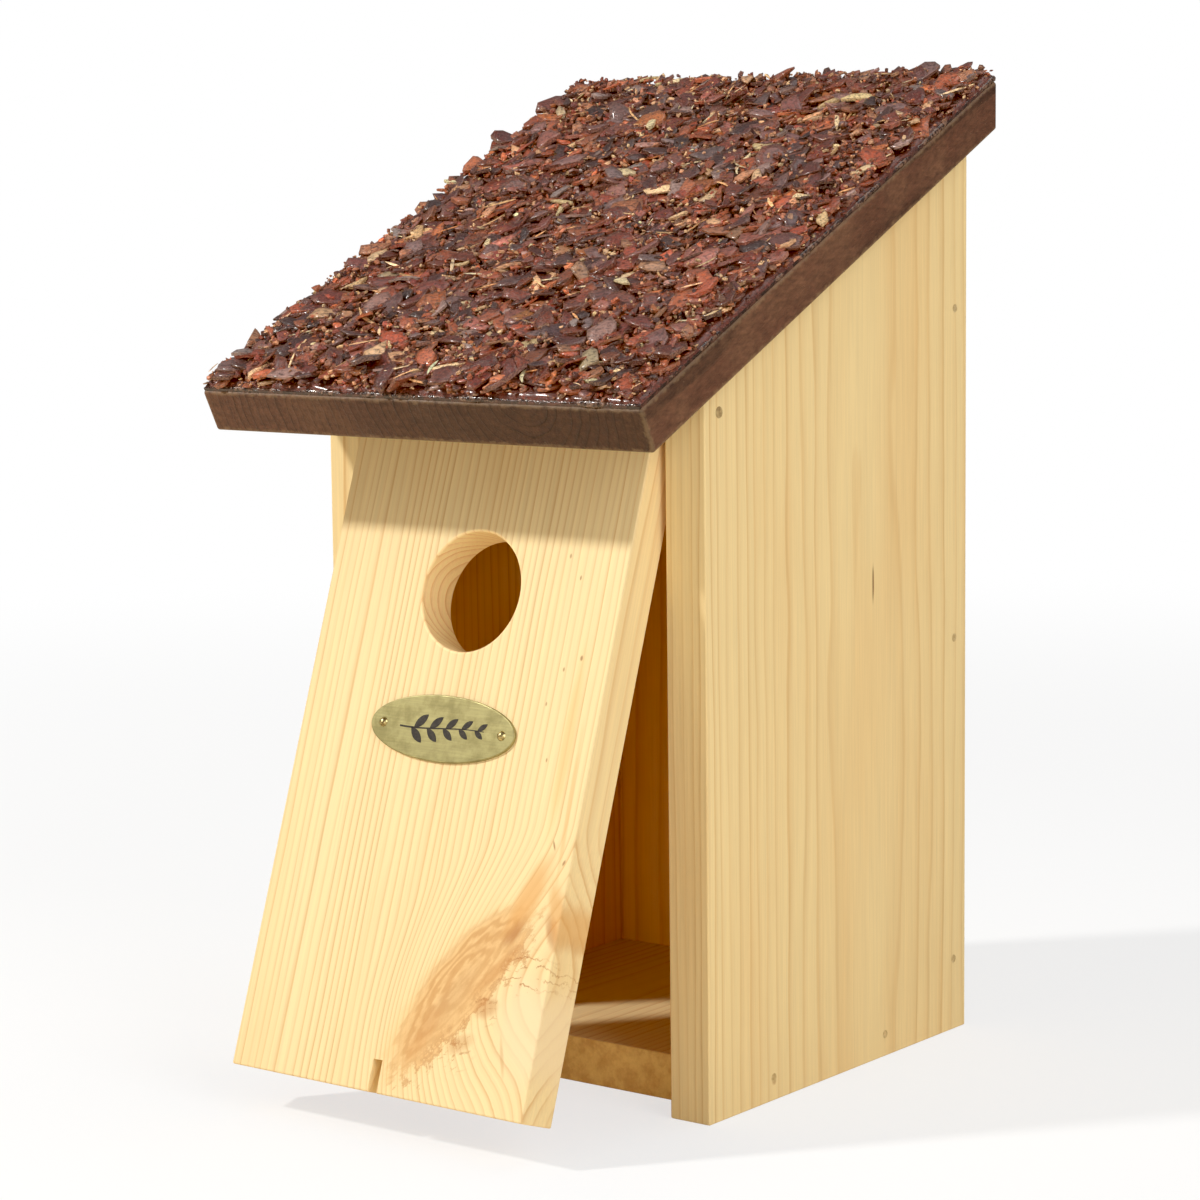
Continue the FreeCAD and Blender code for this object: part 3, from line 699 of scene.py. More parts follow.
def stainMaterial():
    v = stainValues
    material, shader, where = newMaterial("stainedRoofBoard")
    local = placed(where, rotation=(math.pi / 2 - roofValues["slope"], 0, 0))
    underside = frontEdge.z * slopeCos - frontEdge.y * slopeSin
    vector = placed(local, (-v["pith"][0], underside + v["pith"][1], 0.0))
    grain = useGroup(boardGrain, Vector=vector, RingWidth=v["ringWidth"], Contrast=1.0, Uneven=1.2,
                     EarlyTone=v["deep"], LateTone=v["dark"], DeepTone=v["light"])
    worn = noiseAt(placed(where, scale=(1, 0.35, 0.35)), v["wornScale"], 5.0, 0.68)
    brush = noiseAt(placed(where, rotation=(0, 0.6, 0), scale=(0.12, 0.12, 1)), v["brushScale"], 3.0, 0.6)
    saw = noiseAt(placed(local, scale=(1, 1, 0.45)), v["sawScale"], 4.0, 0.72)
    colour = mixTones(ranged(worn, 0.42, 0.74, 0.0, 0.5), grain["Colour"], v["light"])
    colour = brighten(colour, evenly(brush, 0.3, 0.7, 0.84, 1.18))
    colour = brighten(colour, evenly(saw, 0.32, 0.68, 0.7, 1.34))
    colour = laid(colour, v["speck"], ranged(noiseAt(where, v["speckScale"], 2.0), 0.7, 0.78), 0.5)
    across, down, up = partsOf(local)
    along = minus(up, frontEdge.y * slopeCos + frontEdge.z * slopeSin)
    deep = minus(times(down, -1.0), underside)
    # the front cut is darker, most of all towards its right end
    frontCut = ranged(along, 0.2 * mm, 0.7 * mm, 1.0, 0.0)
    kept = ranged(across, v["frontFrom"], v["frontTo"], *v["frontShade"])
    colour = brighten(colour, minus(1.0, times(frontCut, minus(1.0, kept))))
    # rubbed arrises: close to two of the front cut, a side and a face at the same time
    toSide = minus(roofValues["boardHalf"], calc("ABSOLUTE", across))
    toFace = calc("MINIMUM", deep, minus(roofValues["boardThickness"], deep))
    nearest = calc("MINIMUM", calc("MAXIMUM", along, toSide),
                   calc("MAXIMUM", toFace, calc("MINIMUM", along, toSide)))
    ragged = times(minus(noiseAt(where, v["wearScale"], 4.0, 0.7), 0.5), v["wearRagged"])
    colour = mixTones(ranged(plus(nearest, ragged), 0.2 * mm, v["wearWidth"], 0.42, 0.0), colour, v["rubbed"])
    height = plus(grain["Height"], times(plus(brush, saw), 0.7))
    finishShader(shader, colour, evenly(worn, 0.3, 0.7, 0.42, 0.66), height, (0.7, 0.45 * mm),
                 SpecularIORLevel=0.45)
    return material


finishNode("roof_board", stainMaterial())


glueValues = {
    "dark": shade(38, 22, 20),
    "bedPale": shade(92, 54, 44),
    "bedLumps": 420.0,
    # pale specks on the bead: partly dust, partly painted glints of its gloss
    "rimPale": shade(138, 106, 88),
    "rimLumps": 900.0,
    "gloss": (0.12, 0.4),
    "coat": 0.5,
    "coatRoughness": 0.12,
    "bump": (0.6, 0.6 * mm),
}


def glueMaterial(name, paleTone, lumpScale):
    v = glueValues
    material, shader, where = newMaterial(name)
    lumps = noiseAt(where, lumpScale, 4.0, 0.6)
    colour = mixTones(ranged(lumps, 0.4, 0.66), v["dark"], paleTone)
    finishShader(shader, colour, evenly(lumps, 0.3, 0.7, *v["gloss"]), lumps, v["bump"],
                 CoatWeight=v["coat"], CoatRoughness=v["coatRoughness"])
    return material


finishNode("roof_glue_bed", glueMaterial("darkGlue", glueValues["bedPale"], glueValues["bedLumps"]))

barkValues = {
    "seed": 26,
    "darkTone": shade(44, 22, 19),
    "dustTone": shade(196, 150, 122),
    "flakeFinish": (900.0, 0.45, 0.18),  # streak scale, coat, coat roughness
    "crumbFinish": (1500.0, 0.12, 0.35),
    "groundFinish": (1300.0, 0.45, 0.18),
    "splinterFinish": (700.0, 0.45, 0.18),
    "bump": (0.8, 0.42 * mm),
    "glueHeight": 12.5 * mm,
    "topHeight": 15 * mm,
    "edgeBand": 4.5 * mm,  # chips lie lower within this of the border
    "edgeHeight": 0.35,
}


def barkMaterial(name, dust, finish):
    v = barkValues
    streakScale, coat, coatRoughness = finish
    material, shader, where = newMaterial(name)
    tone = newNode("Attribute", {}, material.node_tree, attribute_name="tone").outputs
    surface = useGroup(chipSurface, Vector=where, Tone=tone["Color"], Rim=tone["Alpha"], Dust=dust,
                       StreakScale=streakScale, DarkTone=v["darkTone"], DustTone=v["dustTone"])
    finishShader(shader, surface["Colour"], surface["Roughness"], surface["Height"], v["bump"],
                 CoatWeight=coat, CoatRoughness=coatRoughness)
    return material


def barkPiece(name, points, faces, material, smooth, tones):
    piece = newPiece(name, points, faces, material, "housing", smooth, tones)
    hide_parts("bark_covering")
    print(name, len(faces), "faces")


def smoothField(rng, rows, columns, cells):
    # random heights on a coarse grid, eased between its points
    coarse = rng.random((cells[0] + 2, cells[1] + 2))
    u = np.linspace(0, cells[0], rows)
    v = np.linspace(0, cells[1], columns)
    iu, iv = u.astype(int), v.astype(int)
    fu, fv = u - iu, v - iv
    fu = (fu * fu * (3 - 2 * fu))[:, None]
    fv = (fv * fv * (3 - 2 * fv))[None, :]
    near = coarse[iu][:, iv] * (1 - fu) + coarse[iu + 1][:, iv] * fu
    far = coarse[iu][:, iv + 1] * (1 - fu) + coarse[iu + 1][:, iv + 1] * fu
    return near * (1 - fv) + far * fv


def gridFaces(rows, columns, closed=False, start=0, flip=False):
    # quads of a rows by columns grid of points, wrapped round in columns if closed
    r = np.arange(rows - 1)[:, None] * columns
    c = np.arange(columns if closed else columns - 1)[None, :]
    after = (c + 1) % columns
    quads = np.stack([r + c, r + after, r + columns + after, r + columns + c], axis=-1)
    quads = quads.reshape(-1, 4) + start
    return quads[:, ::-1].tolist() if flip else quads.tolist()


def wallFaces(loop, count):
    # quads between a loop of points and the same loop count points later
    following = np.roll(loop, -1)
    return np.stack([loop, loop + count, following + count, following], axis=-1)


def spun(first, second, angle):
    # two coordinates turned in their plane
    return first * np.cos(angle) - second * np.sin(angle), first * np.sin(angle) + second * np.cos(angle)


bedValues = {
    "rows": 165,
    "columns": 135,
    "low": 13.0 * mm,
    "relief": 1.9 * mm,
    "sink": 12.4 * mm,
    "lip": 0.2 * mm,
    "inset": 0.4 * mm,
    "front": 0.5 * mm,
    "fields": ((0.45, (38, 30)), (0.33, (82, 66))),  # share and coarse cells
    "roughness": 0.22,
    "tones": shades((74, 34, 28), (112, 52, 38)),
}


def makeBarkBed():
    # height over the slope: three fields of rising fineness, dropped to the glue along the border
    v = bedValues
    rng = np.random.default_rng(barkValues["seed"])
    rows, columns = v["rows"], v["columns"]
    field = sum(share * smoothField(rng, rows, columns, cells) for share, cells in v["fields"])
    field += v["roughness"] * rng.random((rows, columns))
    half = roofValues["halfWidth"] - v["inset"]
    along = np.linspace(v["front"], rearAlong(13 * mm) - v["inset"], rows)[:, None]
    across = np.linspace(-half, half, columns)[None, :]
    height = v["low"] + v["relief"] * field
    border = np.ones((rows, columns), bool)
    border[1:-1, 1:-1] = False
    height = np.where(border, v["sink"] + v["lip"], height)
    top = onRoof(across + 0 * along, along + 0 * across, height)
    below = onRoof(across + 0 * along, along + 0 * across, np.full((rows, columns), v["sink"]))
    points = np.concatenate([top.reshape(-1, 3), below.reshape(-1, 3)])
    count = rows * columns
    faces = gridFaces(rows, columns) + gridFaces(rows, columns, start=count, flip=True)
    index = np.arange(count).reshape(rows, columns)
    loop = np.concatenate([index[0, :-1], index[:-1, -1], index[-1, :0:-1], index[:0:-1, 0]])
    faces += wallFaces(loop, count).tolist()
    tones = np.zeros((len(points), 4))
    share = rng.random((len(points), 1))
    dark, light = (np.array(tone[:3]) for tone in v["tones"])
    tones[:, :3] = dark * (1 - share) + light * share
    material = barkMaterial("barkGround", 0.35, barkValues["groundFinish"])
    barkPiece("barkBed", points, faces, material, True, tones)


makeBarkBed()


chipForm = {
    "lengthPower": 1.35,
    "jitter": 0.32,
    "ragged": (0.6, 1.14),
    "bend": (-0.09, 0.12),
    "twist": 0.2,
    "innerRing": 0.55,
    "foot": 0.95,
    "crown": 0.12,
    "rough": 0.1,
    "pitchShare": 0.8,
    "overhang": 0.9 * mm,
}


def chipCloud(rng, v):
    # outline: a squared ellipse at angle t times a ragged factor; lift: curl times across squared plus bend
    # times along squared plus a twist; then turned by roll, pitch and yaw, and set on the slope at a chance
    # height
    form = chipForm
    count, sides, inset = v["count"], v["sides"], v["inset"] * mm
    shortest, longest = inMm(v["length"])
    lengths = shortest * (longest / shortest) ** (rng.random((count, 1)) ** form["lengthPower"])
    widths = lengths * rng.uniform(*v["narrow"], (count, 1))
    thicks = rng.uniform(*inMm(v["thick"]), (count, 1))
    jitter = rng.uniform(-form["jitter"], form["jitter"], (count, sides))
    t = (np.arange(sides)[None, :] + jitter) * (2 * math.pi / sides)
    ragged = rng.uniform(*form["ragged"], (count, sides))
    square = 1.0 / (np.abs(np.cos(t)) ** 3 + np.abs(np.sin(t)) ** 3) ** (1 / 3)
    outA = 0.5 * lengths * np.cos(t) * ragged * square
    outB = 0.5 * widths * np.sin(t) * ragged * square
    curls = rng.uniform(*v["curl"], (count, 1)) * widths
    bends = rng.uniform(*form["bend"], (count, 1)) * lengths
    twists = rng.uniform(-form["twist"], form["twist"], (count, 1))

    def lift(a, b):
        u, w = a / (0.5 * lengths), b / (0.5 * widths)
        return -curls * w * w - bends * u * u + twists * u * w * 0.5 * widths

    # the middle point, a ring half way out, the rim and the foot below it
    middle = np.zeros((count, 1))
    inA, inB = outA * form["innerRing"], outB * form["innerRing"]
    rough = rng.uniform(-form["rough"], form["rough"], (count, sides)) * thicks
    a = np.concatenate([middle, inA, outA, outA * form["foot"]], axis=1)
    b = np.concatenate([middle, inB, outB, outB * form["foot"]], axis=1)
    edge = lift(outA, outB)
    c = np.concatenate([middle + form["crown"] * thicks, lift(inA, inB) + rough, edge, edge - thicks], axis=1)
    roll = np.radians(rng.normal(0, v["tilt"], (count, 1)))
    pitch = np.radians(rng.normal(0, v["tilt"] * form["pitchShare"], (count, 1)))
    yaw = rng.uniform(0, 2 * math.pi, (count, 1))
    b, c = spun(b, c, roll)
    c, a = spun(c, a, pitch)
    a, b = spun(a, b, yaw)
    low, high = inMm((v["low"], v["high"]))
    base = low + (high - low) * rng.random((count, 1)) ** v["heightPower"]
    half, run, ground = roofValues["halfWidth"], rearAlong(barkValues["topHeight"]), barkValues["glueHeight"]
    across = rng.uniform(-1, 1, (count, 1)) * (half - inset)
    along = rng.uniform(0.0, 1.0, (count, 1)) * (run - 2 * inset) + inset
    height = np.maximum(base + 0.5 * (c - c.min(axis=1, keepdims=True)) + 0.5 * c, ground)
    fromBorder = np.minimum(half - np.abs(across), np.minimum(along, run - along))
    ease = np.clip(barkValues["edgeHeight"] + fromBorder / barkValues["edgeBand"], 0.0, 1.0)
    height = ground + (height - ground) * ease
    points = onRoof(across + a, np.maximum(along + b, -form["overhang"]), height).reshape(-1, 3)
    each = 1 + 3 * sides
    k = np.arange(sides)
    n = (k + 1) % sides
    first, second, under = 1, 1 + sides, 1 + 2 * sides
    offsets = (np.arange(count) * each)[:, None, None]
    faces = []
    for corners in ((0 * k, first + k, first + n), (first + k, second + k, second + n, first + n),
                    (second + k, under + k, under + n, second + n)):
        faces += (np.stack(corners, axis=-1)[None] + offsets).reshape(-1, len(corners)).tolist()
    faces += (np.arange(under, each)[::-1][None] + offsets[:, 0]).tolist()
    soft = np.arange(len(faces)) < 2 * sides * count  # the face of a chip is rounded, its broken rim is not
    rim = np.concatenate([[0.0], np.full(sides, 0.35), np.full(2 * sides, 1.0)])
    return points, faces, soft, rim


def chipTones(rng, count, rim, palette, spread):
    # every chip takes one of the palette's tones, lighter or darker by chance; alpha is nearness to the rim
    picks = np.array([tone[:3] for tone in palette])[rng.integers(0, len(palette), count)]
    value = np.exp(rng.normal(0, spread, (count, 1)))
    warm = rng.normal(0, 0.08, (count, 1)) * np.array([[1.0, -0.4, -0.8]])
    picks = np.clip(picks * value * (1 + warm), 0.0, 1.0)
    tones = np.empty((count, len(rim), 4))
    tones[:, :, :3] = picks[:, None, :]
    tones[:, :, 3] = rim[None, :]
    return tones.reshape(-1, 4)


# chips: lengths, thicknesses, heights over the board's underside and the inset from its border are in mm

flakeSets = {
    "barkFlakesRed": {
        "count": 2600, "sides": 7, "length": (3.8, 13.5), "narrow": (0.36, 0.8), "thick": (0.4, 1.1),
        "tilt": 11, "curl": (-0.06, 0.14), "low": 13.3, "high": 16.0, "heightPower": 0.8, "inset": 3.2,
        "dust": 0.26, "spread": 0.36,
        "palette": shades((112, 52, 38), (132, 64, 42), (96, 44, 36), (148, 80, 52), (120, 72, 62)),
    },
    "barkFlakesDark": {
        "count": 1150, "sides": 7, "length": (4.2, 14.5), "narrow": (0.34, 0.75), "thick": (0.4, 1.1),
        "tilt": 12, "curl": (-0.06, 0.16), "low": 13.3, "high": 16.0, "heightPower": 0.9, "inset": 3.6,
        "dust": 0.2, "spread": 0.38,
        "palette": shades((78, 40, 36), (92, 58, 54), (58, 34, 34), (112, 82, 78)),
    },
    "barkFlakesPale": {
        "count": 620, "sides": 6, "length": (3.2, 12.0), "narrow": (0.34, 0.75), "thick": (0.3, 0.9),
        "tilt": 13, "curl": (-0.06, 0.14), "low": 13.8, "high": 16.2, "heightPower": 0.8, "inset": 2.2,
        "dust": 0.24, "spread": 0.26,
        "palette": shades((160, 110, 80), (146, 118, 110), (170, 96, 52), (200, 160, 120)),
    },
}

crumbSets = {
    "paleWoodChips": {
        "count": 46, "sides": 7, "length": (5.0, 14.0), "narrow": (0.14, 0.42), "thick": (0.4, 0.9),
        "tilt": 9, "curl": (-0.05, 0.08), "low": 15.6, "high": 16.4, "heightPower": 0.8, "inset": 0.6,
        "dust": 0.3, "spread": 0.12,
        "palette": shades((220, 184, 134), (206, 168, 118), (228, 198, 152)),
    },
    "barkCrumbs": {
        "count": 6800, "sides": 5, "length": (0.9, 3.6), "narrow": (0.45, 0.95), "thick": (0.3, 1.1),
        "tilt": 26, "curl": (-0.05, 0.2), "low": 13.4, "high": 16.6, "heightPower": 0.8, "inset": 0.6,
        "dust": 0.3, "spread": 0.4,
        "palette": shades((122, 54, 40), (92, 42, 36), (156, 84, 52), (70, 40, 38), (150, 102, 78)),
    },
    "barkGrit": {
        "count": 5200, "sides": 5, "length": (0.7, 2.4), "narrow": (0.4, 0.9), "thick": (0.25, 0.7),
        "tilt": 28, "curl": (-0.05, 0.15), "low": 14.0, "high": 16.8, "heightPower": 0.8, "inset": 0.6,
        "dust": 0.3, "spread": 0.3,
        "palette": shades((196, 144, 106), (218, 176, 130), (160, 98, 64), (150, 76, 48)),
    },
}


def layChips(sets, seedStep, finish):
    rng = np.random.default_rng(barkValues["seed"] + seedStep)
    for name, v in sets.items():
        points, faces, soft, rim = chipCloud(rng, v)
        tones = chipTones(rng, v["count"], rim, v["palette"], v["spread"])
        barkPiece(name, points, faces, barkMaterial(name + "Surface", v["dust"], finish), soft, tones)


layChips(flakeSets, 1, barkValues["flakeFinish"])
layChips(crumbSets, 2, barkValues["crumbFinish"])

splinterValues = {
    "count": 260,
    "length": (3.0, 14.0),
    "width": (0.35, 1.2),
    "sides": 5,
    "rings": 5,
    "low": 15.2,
    "high": 17.1,
    "floor": 13 * mm,
    "inset": 2 * mm,
    "palette": shades((222, 178, 126), (206, 160, 108), (232, 200, 156), (190, 138, 88)),
}


def makeSplinters():
    # a tapered rod along u from 0 to 1: half width sin(pi u) to the 0.45, bowed by four times u(1 - u) and
    # flattened in height
    v = splinterValues
    rng = np.random.default_rng(barkValues["seed"] + 3)
    count, sides, rings = v["count"], v["sides"], v["rings"]
    one = (count, 1, 1)
    shortest, longest = v["length"]
    lengths = (shortest + (longest - shortest) * rng.random(one) ** 2.2) * mm
    widths = rng.uniform(*v["width"], one) * mm * np.clip(lengths / (7 * mm), 0.5, 1.2)
    u = np.linspace(0.03, 0.97, rings)[None, :, None]
    t = (np.arange(sides) * 2 * math.pi / sides)[None, None, :]
    half = 0.5 * widths * np.sin(math.pi * u) ** 0.45
    ragged = rng.uniform(0.7, 1.15, (count, rings, sides))
    bow = rng.uniform(-0.1, 0.1, one) * lengths
    a = (u - 0.5) * lengths + 0 * t
    b = half * np.cos(t) * ragged + bow * (4 * u * (1 - u))
    c = 0.45 * half * np.sin(t) * ragged
    a, c = spun(a, c, np.radians(rng.normal(0, 7, one)))
    a, b = spun(a, b, rng.uniform(0, 2 * math.pi, one))
    across = rng.uniform(-1, 1, one) * (roofValues["halfWidth"] - v["inset"])
    along = rng.random(one) * (rearAlong(16 * mm) - 2 * v["inset"]) + v["inset"]
    height = rng.uniform(v["low"], v["high"], one) * mm + c
    points = onRoof(across + a, along + b, np.maximum(height, v["floor"])).reshape(-1, 3)
    each = rings * sides
    offsets = (np.arange(count) * each)[:, None]
    rod = np.array(gridFaces(rings, sides, closed=True))
    faces = (rod[None] + offsets[:, :, None]).reshape(-1, 4).tolist()
    faces += (np.arange(sides)[::-1][None] + offsets).tolist()
    faces += (np.arange(each - sides, each)[None] + offsets).tolist()
    tones = chipTones(rng, count, np.zeros(each), v["palette"], 0.14)
    material = barkMaterial("splinterSurface", 0.1, barkValues["splinterFinish"])
    barkPiece("woodSplinters", points, faces, material, False, tones)


makeSplinters()

rimValues = {
    "radius": 0.75 * mm,
    "thinnest": 0.25 * mm,
    "thickest": 1.35 * mm,
    "sides": 8,
    "step": 0.9 * mm,
    "height": 12.45 * mm,
    "inset": 0.85 * mm,
    "front": 0.75 * mm,
}


def makeGlueRim():
    # a bead round the board's upper edge: a circle carried along the path, its radius changed by a slow and a
    # quick chance
    v = rimValues
    rng = np.random.default_rng(barkValues["seed"] + 4)
    half, rear = roofValues["halfWidth"] - v["inset"], rearAlong(v["height"]) - v["inset"]
    corners = np.array([[-half, v["front"]], [half, v["front"]], [half, rear], [-half, rear]])
    runs = []
    for start, end in zip(corners, np.roll(corners, -1, axis=0)):
        steps = int(np.linalg.norm(end - start) / v["step"])
        runs.append(start + (end - start) * np.linspace(0, 1, steps, endpoint=False)[:, None])
    path = np.concatenate(runs)
    count, sides = len(path), v["sides"]
    tangent = np.roll(path, -1, axis=0) - np.roll(path, 1, axis=0)
    tangent /= np.linalg.norm(tangent, axis=1, keepdims=True)
    outward = np.stack([tangent[:, 1], -tangent[:, 0]], axis=1)
    chance = rng.random(count)
    window = np.hanning(13) / np.hanning(13).sum()
    soft = np.convolve(np.concatenate([chance[-6:], chance, chance[:6]]), window, "valid")
    radius = v["radius"] * (0.55 + 1.1 * (soft - 0.5) * 2 + 0.35 * chance)
    radius = np.clip(radius, v["thinnest"], v["thickest"])[:, None]
    t = (np.arange(sides) * 2 * math.pi / sides)[None, :]
    across = path[:, :1] + outward[:, :1] * radius * np.cos(t)
    along = path[:, 1:] + outward[:, 1:] * radius * np.cos(t)
    points = onRoof(across, along, v["height"] + radius * np.sin(t)).reshape(-1, 3)
    faces = gridFaces(count, sides, closed=True, flip=True)
    k, last = np.arange(sides), (count - 1) * sides
    n = (k + 1) % sides
    faces += np.stack([k, n, last + n, last + k], axis=-1).tolist()
    # the bead's pale specks are partly dust and partly painted glints
    material = glueMaterial("rimGlue", glueValues["rimPale"], glueValues["rimLumps"])
    newPiece("glueRim", points, faces, material, "housing", True)


makeGlueRim()
print("roof finished")


# metal pieces

metalValues = {
    "oval_plate": {"name": "plateBrass", "bright": shade(172, 163, 112), "dull": shade(142, 134, 88),
                   "blotch": 190.0, "rough": 0.36, "metallic": 0.55},
    "plate_pins": {"name": "pinBrass", "bright": shade(214, 196, 140), "dull": shade(120, 104, 70),
                   "blotch": 900.0, "rough": 0.22, "metallic": 0.95},
    "hanging_plate": {"name": "hangerZinc", "bright": shade(204, 206, 206), "dull": shade(150, 154, 156),
                      "blotch": 220.0, "rough": 0.32, "metallic": 0.9},
    "hanging_screws": {"name": "screwZinc", "bright": shade(214, 214, 210), "dull": shade(160, 160, 158),
                       "blotch": 600.0, "rough": 0.28, "metallic": 0.95},
    "latch_hook": {"name": "hookZinc", "bright": shade(200, 200, 196), "dull": shade(140, 142, 142),
                   "blotch": 500.0, "rough": 0.3, "metallic": 0.95},
    "pivot_nail_left": {"name": "pivotNailSteel", "bright": shade(206, 182, 136), "dull": shade(156, 130, 90),
                        "blotch": 800.0, "rough": 0.5, "metallic": 0.5},
    "floor_nails": {"name": "bradSteel", "bright": shade(226, 204, 158), "dull": shade(204, 178, 128),
                    "blotch": 800.0, "rough": 0.45, "metallic": 0.55},
}
sameMetal = {
    "pivot_nail_right": "pivot_nail_left",
    "back_panel_nails": "floor_nails",
    "roof_nails": "floor_nails",
}


metalSurface = {"scratchScale": 2600.0, "bump": (0.25, 0.08 * mm)}


def metalMaterial(name, bright, dull, blotch, rough, metallic):
    material, shader, where = newMaterial(name)
    surface = useGroup(rubbedMetal, Vector=where, BrightTone=bright, DullTone=dull, BlotchScale=blotch,
                       ScratchScale=metalSurface["scratchScale"], Roughness=rough)
    finishShader(shader, surface["Colour"], surface["Roughness"], surface["Height"], metalSurface["bump"],
                 Metallic=metallic)
    return material


metals = {name: metalMaterial(**values) for name, values in metalValues.items()}
for name in (*metalValues, *sameMetal):
    finishNode(name, metals[sameMetal.get(name, name)])
print("metal pieces finished")


# a plain leaf twig inlaid in the oval plate

twigValues = {
    "drop": 88.5 * mm,
    "surface": 7.05 * mm,
    "proud": 0.05 * mm,
    "sunk": 0.1 * mm,
    "stemHalf": 14.0 * mm,
    "stemWidth": 0.5 * mm,
    "stemWave": 0.5 * mm,
    "leafLength": 5.6 * mm,
    "leafWidth": 2.3 * mm,
    "leafPairs": 5,
    "leafStagger": 0.9 * mm,
    "leafLean": 42,
    "steps": 12,
    "tones": shades((26, 23, 17), (50, 45, 32)),
}


def onDoor(across, down, out):
    # place on the open door: across it, down from the pivot and out from its middle
    angle = doorValues["openingAngle"]
    x, y, z = doorValues["pivot"]
    return np.stack([
        x + across,
        y - out * math.cos(angle) - down * math.sin(angle),
        z + out * math.sin(angle) - down * math.cos(angle),
    ], axis=-1)


def inlayMaterial():
    material, shader, where = newMaterial("darkInlay")
    patches = noiseAt(where, 1500.0)
    colour = mixTones(ranged(patches, 0.4, 0.7), *twigValues["tones"])
    finishShader(shader, colour, evenly(patches, 0.3, 0.7, 0.35, 0.55), patches, (0.2, 0.05 * mm))
    return material


def makeTwig():
    # leaf: width sin(pi u) to the 0.8 either side of a midrib at u; stem: a slow wave across the plate
    v = twigValues
    u = np.linspace(0, 1, v["steps"])
    side = np.array([-1.0, 1.0])

    def stemY(x):
        return v["stemWave"] * np.sin(x / v["stemHalf"] * 2.2)

    stemX = (u * 2 - 1) * v["stemHalf"]
    taper = v["stemWidth"] * (0.5 - 0.3 * u)[:, None]
    shapes = [(stemX[:, None] + 0 * side, stemY(stemX)[:, None] + taper * side)]
    starts = np.linspace(-0.72, 0.78, v["leafPairs"]) * v["stemHalf"]
    for number, start in enumerate(starts):
        size = 1.0 - 0.09 * number
        for hand in (-1, 1):
            root = start + (v["leafStagger"] if hand > 0 else 0.0)
            lean = hand * math.radians(v["leafLean"] - 2 * number)
            a = u[:, None] * v["leafLength"] * size + 0 * side
            b = 0.5 * v["leafWidth"] * size * (np.sin(math.pi * u) ** 0.8)[:, None] * side
            shapes.append((root + a * math.cos(lean) - b * math.sin(lean),
                           stemY(root) + a * math.sin(lean) + b * math.cos(lean)))
    points, faces = [], []
    count = 2 * v["steps"]
    for number, (x, y) in enumerate(shapes):
        start = 2 * count * number
        for out in (v["surface"] + v["proud"], v["surface"] - v["sunk"]):
            points.append(onDoor(x, v["drop"] - y, np.full(x.shape, out)).reshape(-1, 3))
        faces += gridFaces(v["steps"], 2, start=start)
        faces += gridFaces(v["steps"], 2, start=start + count, flip=True)
        index = np.arange(count).reshape(v["steps"], 2) + start
        loop = np.concatenate([index[:, 0], index[::-1, 1]])
        following = np.roll(loop, -1)
        faces += np.stack([loop, following, following + count, loop + count], axis=-1).tolist()
    twig = newPiece("plateTwig", np.concatenate(points), faces, inlayMaterial(), "front", False)
    # the leaves' tips close to a point, so doubles are merged before the faces are turned outwards
    merged = bmesh.new()
    merged.from_mesh(twig.data)
    bmesh.ops.remove_doubles(merged, verts=merged.verts, dist=0.002 * mm)
    bmesh.ops.recalc_face_normals(merged, faces=merged.faces)
    merged.to_mesh(twig.data)
    merged.free()


makeTwig()
print("plate inlay finished")


# stage, lights and camera

white = (1.0, 1.0, 1.0, 1.0)
stageValues = {
    "radii": (0.4, 1.5, 6.0),
    "ring": 96,
    "nearEdge": 0.35,
    "farEdge": 1.1,
    "nearGlow": 0.68,
    "matte": (0.84, 0.73, 0.56, 1.0),
    "pale": (0.9, 0.9, 0.9, 1.0),
}


def seenOrLit(output, lit, seen):
    # lit gives the light on the object, seen is what the camera shows
    path = newNode("LightPath", {}, output.id_data)
    choice = newNode("MixShader", {0: path.outputs["Is Camera Ray"], 1: lit.outputs[0], 2: seen.outputs[0]})
    feed(output.inputs["Surface"], choice.outputs[0])


def makeFloor():
    # a flat disc: rings of radius r times the cosine and sine of the angle round it
    v = stageValues
    t = np.arange(v["ring"]) * 2 * math.pi / v["ring"]
    radii = np.array(v["radii"])[:, None]
    points = np.stack([radii * np.cos(t), radii * np.sin(t), 0 * radii * t], axis=-1).reshape(-1, 3)
    faces = gridFaces(len(radii), v["ring"], closed=True, flip=True) + [list(range(v["ring"]))]
    meshData = bpy.data.meshes.new("studioFloor")
    meshData.from_pydata(points.tolist(), [], faces)
    material = bpy.data.materials.new("paleFloor")
    material.use_nodes = True
    tree = material.node_tree
    tree.nodes.clear()
    matte = newNode("BsdfDiffuse", {"Color": v["matte"]}, tree)
    pale = newNode("BsdfDiffuse", {"Color": v["pale"]}, tree)
    glow = newNode("Emission", {"Color": white, "Strength": 1.0}, tree)
    distance = vectorCalc("LENGTH", newNode("TexCoord", {}, tree).outputs["Object"])
    far = ranged(distance, v["nearEdge"], v["farEdge"], v["nearGlow"], 1.0)
    seen = newNode("MixShader", {0: far, 1: pale.outputs[0], 2: glow.outputs[0]})
    seenOrLit(newNode("OutputMaterial", {}, tree), matte, seen)
    meshData.materials.append(material)
    floor = bpy.data.objects.new("studioFloor", meshData)
    bpy.context.scene.collection.objects.link(floor)


makeFloor()

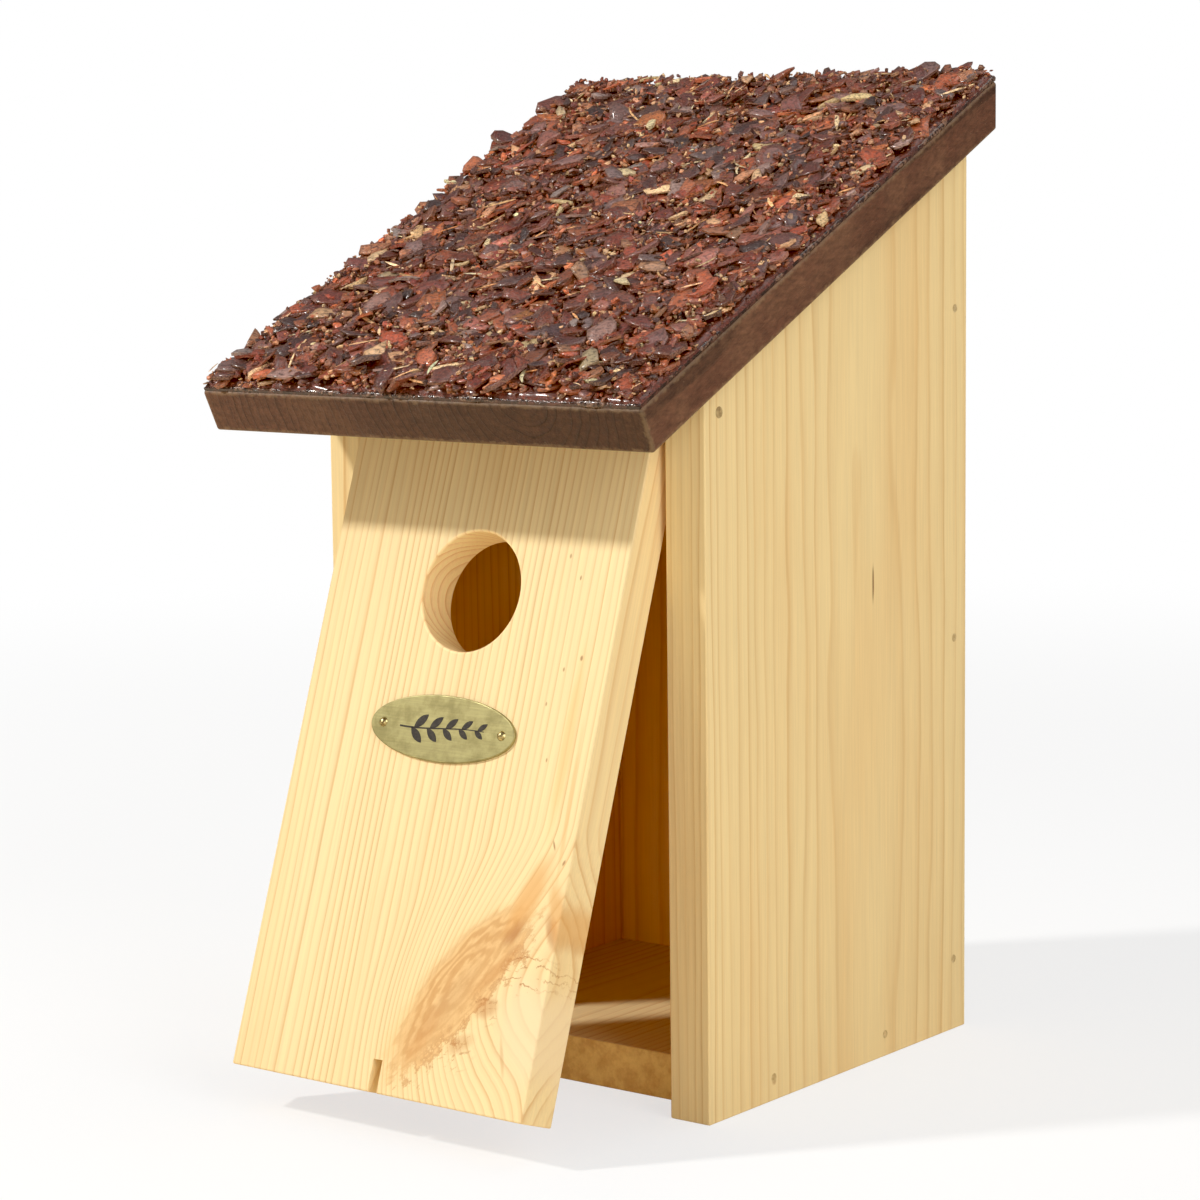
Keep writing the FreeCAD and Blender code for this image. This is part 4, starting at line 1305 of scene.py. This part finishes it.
# turn is degrees round the object from its front, positive to the right; rise is degrees up
lightValues = {
    "key": {"turn": -44.5, "rise": 39.2, "distance": 1.9, "size": 0.15,
        "power": 27.6, "colour": (1.0, 0.98, 0.94)},
    "fill": {"turn": 74.0, "rise": 24.0, "distance": 2.0, "size": 1.4,
        "power": 18.2, "colour": (1.0, 0.99, 0.97)},
    "front": {"turn": 30.0, "rise": 3.0, "distance": 1.6, "size": 0.5,
        "power": 3.4, "colour": (1.0, 0.94, 0.84)},
    "top": {"turn": 150.0, "rise": 70.0, "distance": 2.2, "size": 1.6,
        "power": 11.0, "colour": (1.0, 1.0, 1.0)},
}
lightCentre = Vector((0.0, -0.02, 0.12))
worldValues = {"litTone": (0.97, 0.98, 1.0, 1.0), "lighting": 0.22, "seen": 1.0}


def direction(turn, rise):
    a, e = math.radians(turn), math.radians(rise)
    return Vector((math.sin(a) * math.cos(e), -math.cos(a) * math.cos(e), math.sin(e)))


def makeLights():
    for name, v in lightValues.items():
        lamp = bpy.data.lights.new(name + "Light", "AREA")
        lamp.shape = "DISK"
        lamp.size = v["size"]
        lamp.energy = v["power"]
        lamp.color = v["colour"]
        holder = bpy.data.objects.new(name + "Light", lamp)
        towards = direction(v["turn"], v["rise"])
        holder.location = lightCentre + towards * v["distance"]
        holder.rotation_euler = towards.to_track_quat("Z", "Y").to_euler()
        bpy.context.scene.collection.objects.link(holder)
    world = bpy.data.worlds.new("studioWorld")
    bpy.context.scene.world = world
    world.use_nodes = True
    tree = world.node_tree
    tree.nodes.clear()
    lit = newNode("Background", {"Color": worldValues["litTone"], "Strength": worldValues["lighting"]}, tree)
    seen = newNode("Background", {"Color": white, "Strength": worldValues["seen"]}, tree)
    seenOrLit(newNode("OutputWorld", {}, tree), lit, seen)


makeLights()

cameraValues = {
    "place": (0.55019, -0.73813, 0.24494),
    "turn": 37.6257,
    "rise": 7.4208,
    "roll": -0.668,
    "lens": 100.22,
    "sensor": 36.0,
    "clip": (0.05, 60.0),
}


def makeCamera():
    v = cameraValues
    back = direction(v["turn"], v["rise"])
    right = Vector((math.cos(math.radians(v["turn"])), math.sin(math.radians(v["turn"])), 0.0))
    roll = math.radians(v["roll"])
    right = right * math.cos(roll) + back.cross(right) * math.sin(roll)
    lens = bpy.data.cameras.new("studioCamera")
    lens.lens = v["lens"]
    lens.sensor_width = v["sensor"]
    lens.clip_start, lens.clip_end = v["clip"]
    camera = bpy.data.objects.new("studioCamera", lens)
    turn = Matrix((right, back.cross(right), back)).transposed()
    camera.matrix_world = Matrix.Translation(v["place"]) @ turn.to_4x4()
    bpy.context.scene.collection.objects.link(camera)
    bpy.context.scene.camera = camera


makeCamera()

# a curve with a short toe keeps dark wood warm
viewValues = {"transform": "Standard", "black": (0.0, 0.007, 0.0095)}
view = bpy.context.scene.view_settings
view.view_transform = viewValues["transform"]
view.use_curve_mapping = True
view.curve_mapping.black_level = viewValues["black"]
view.curve_mapping.update()
print("stage, lights and camera set")
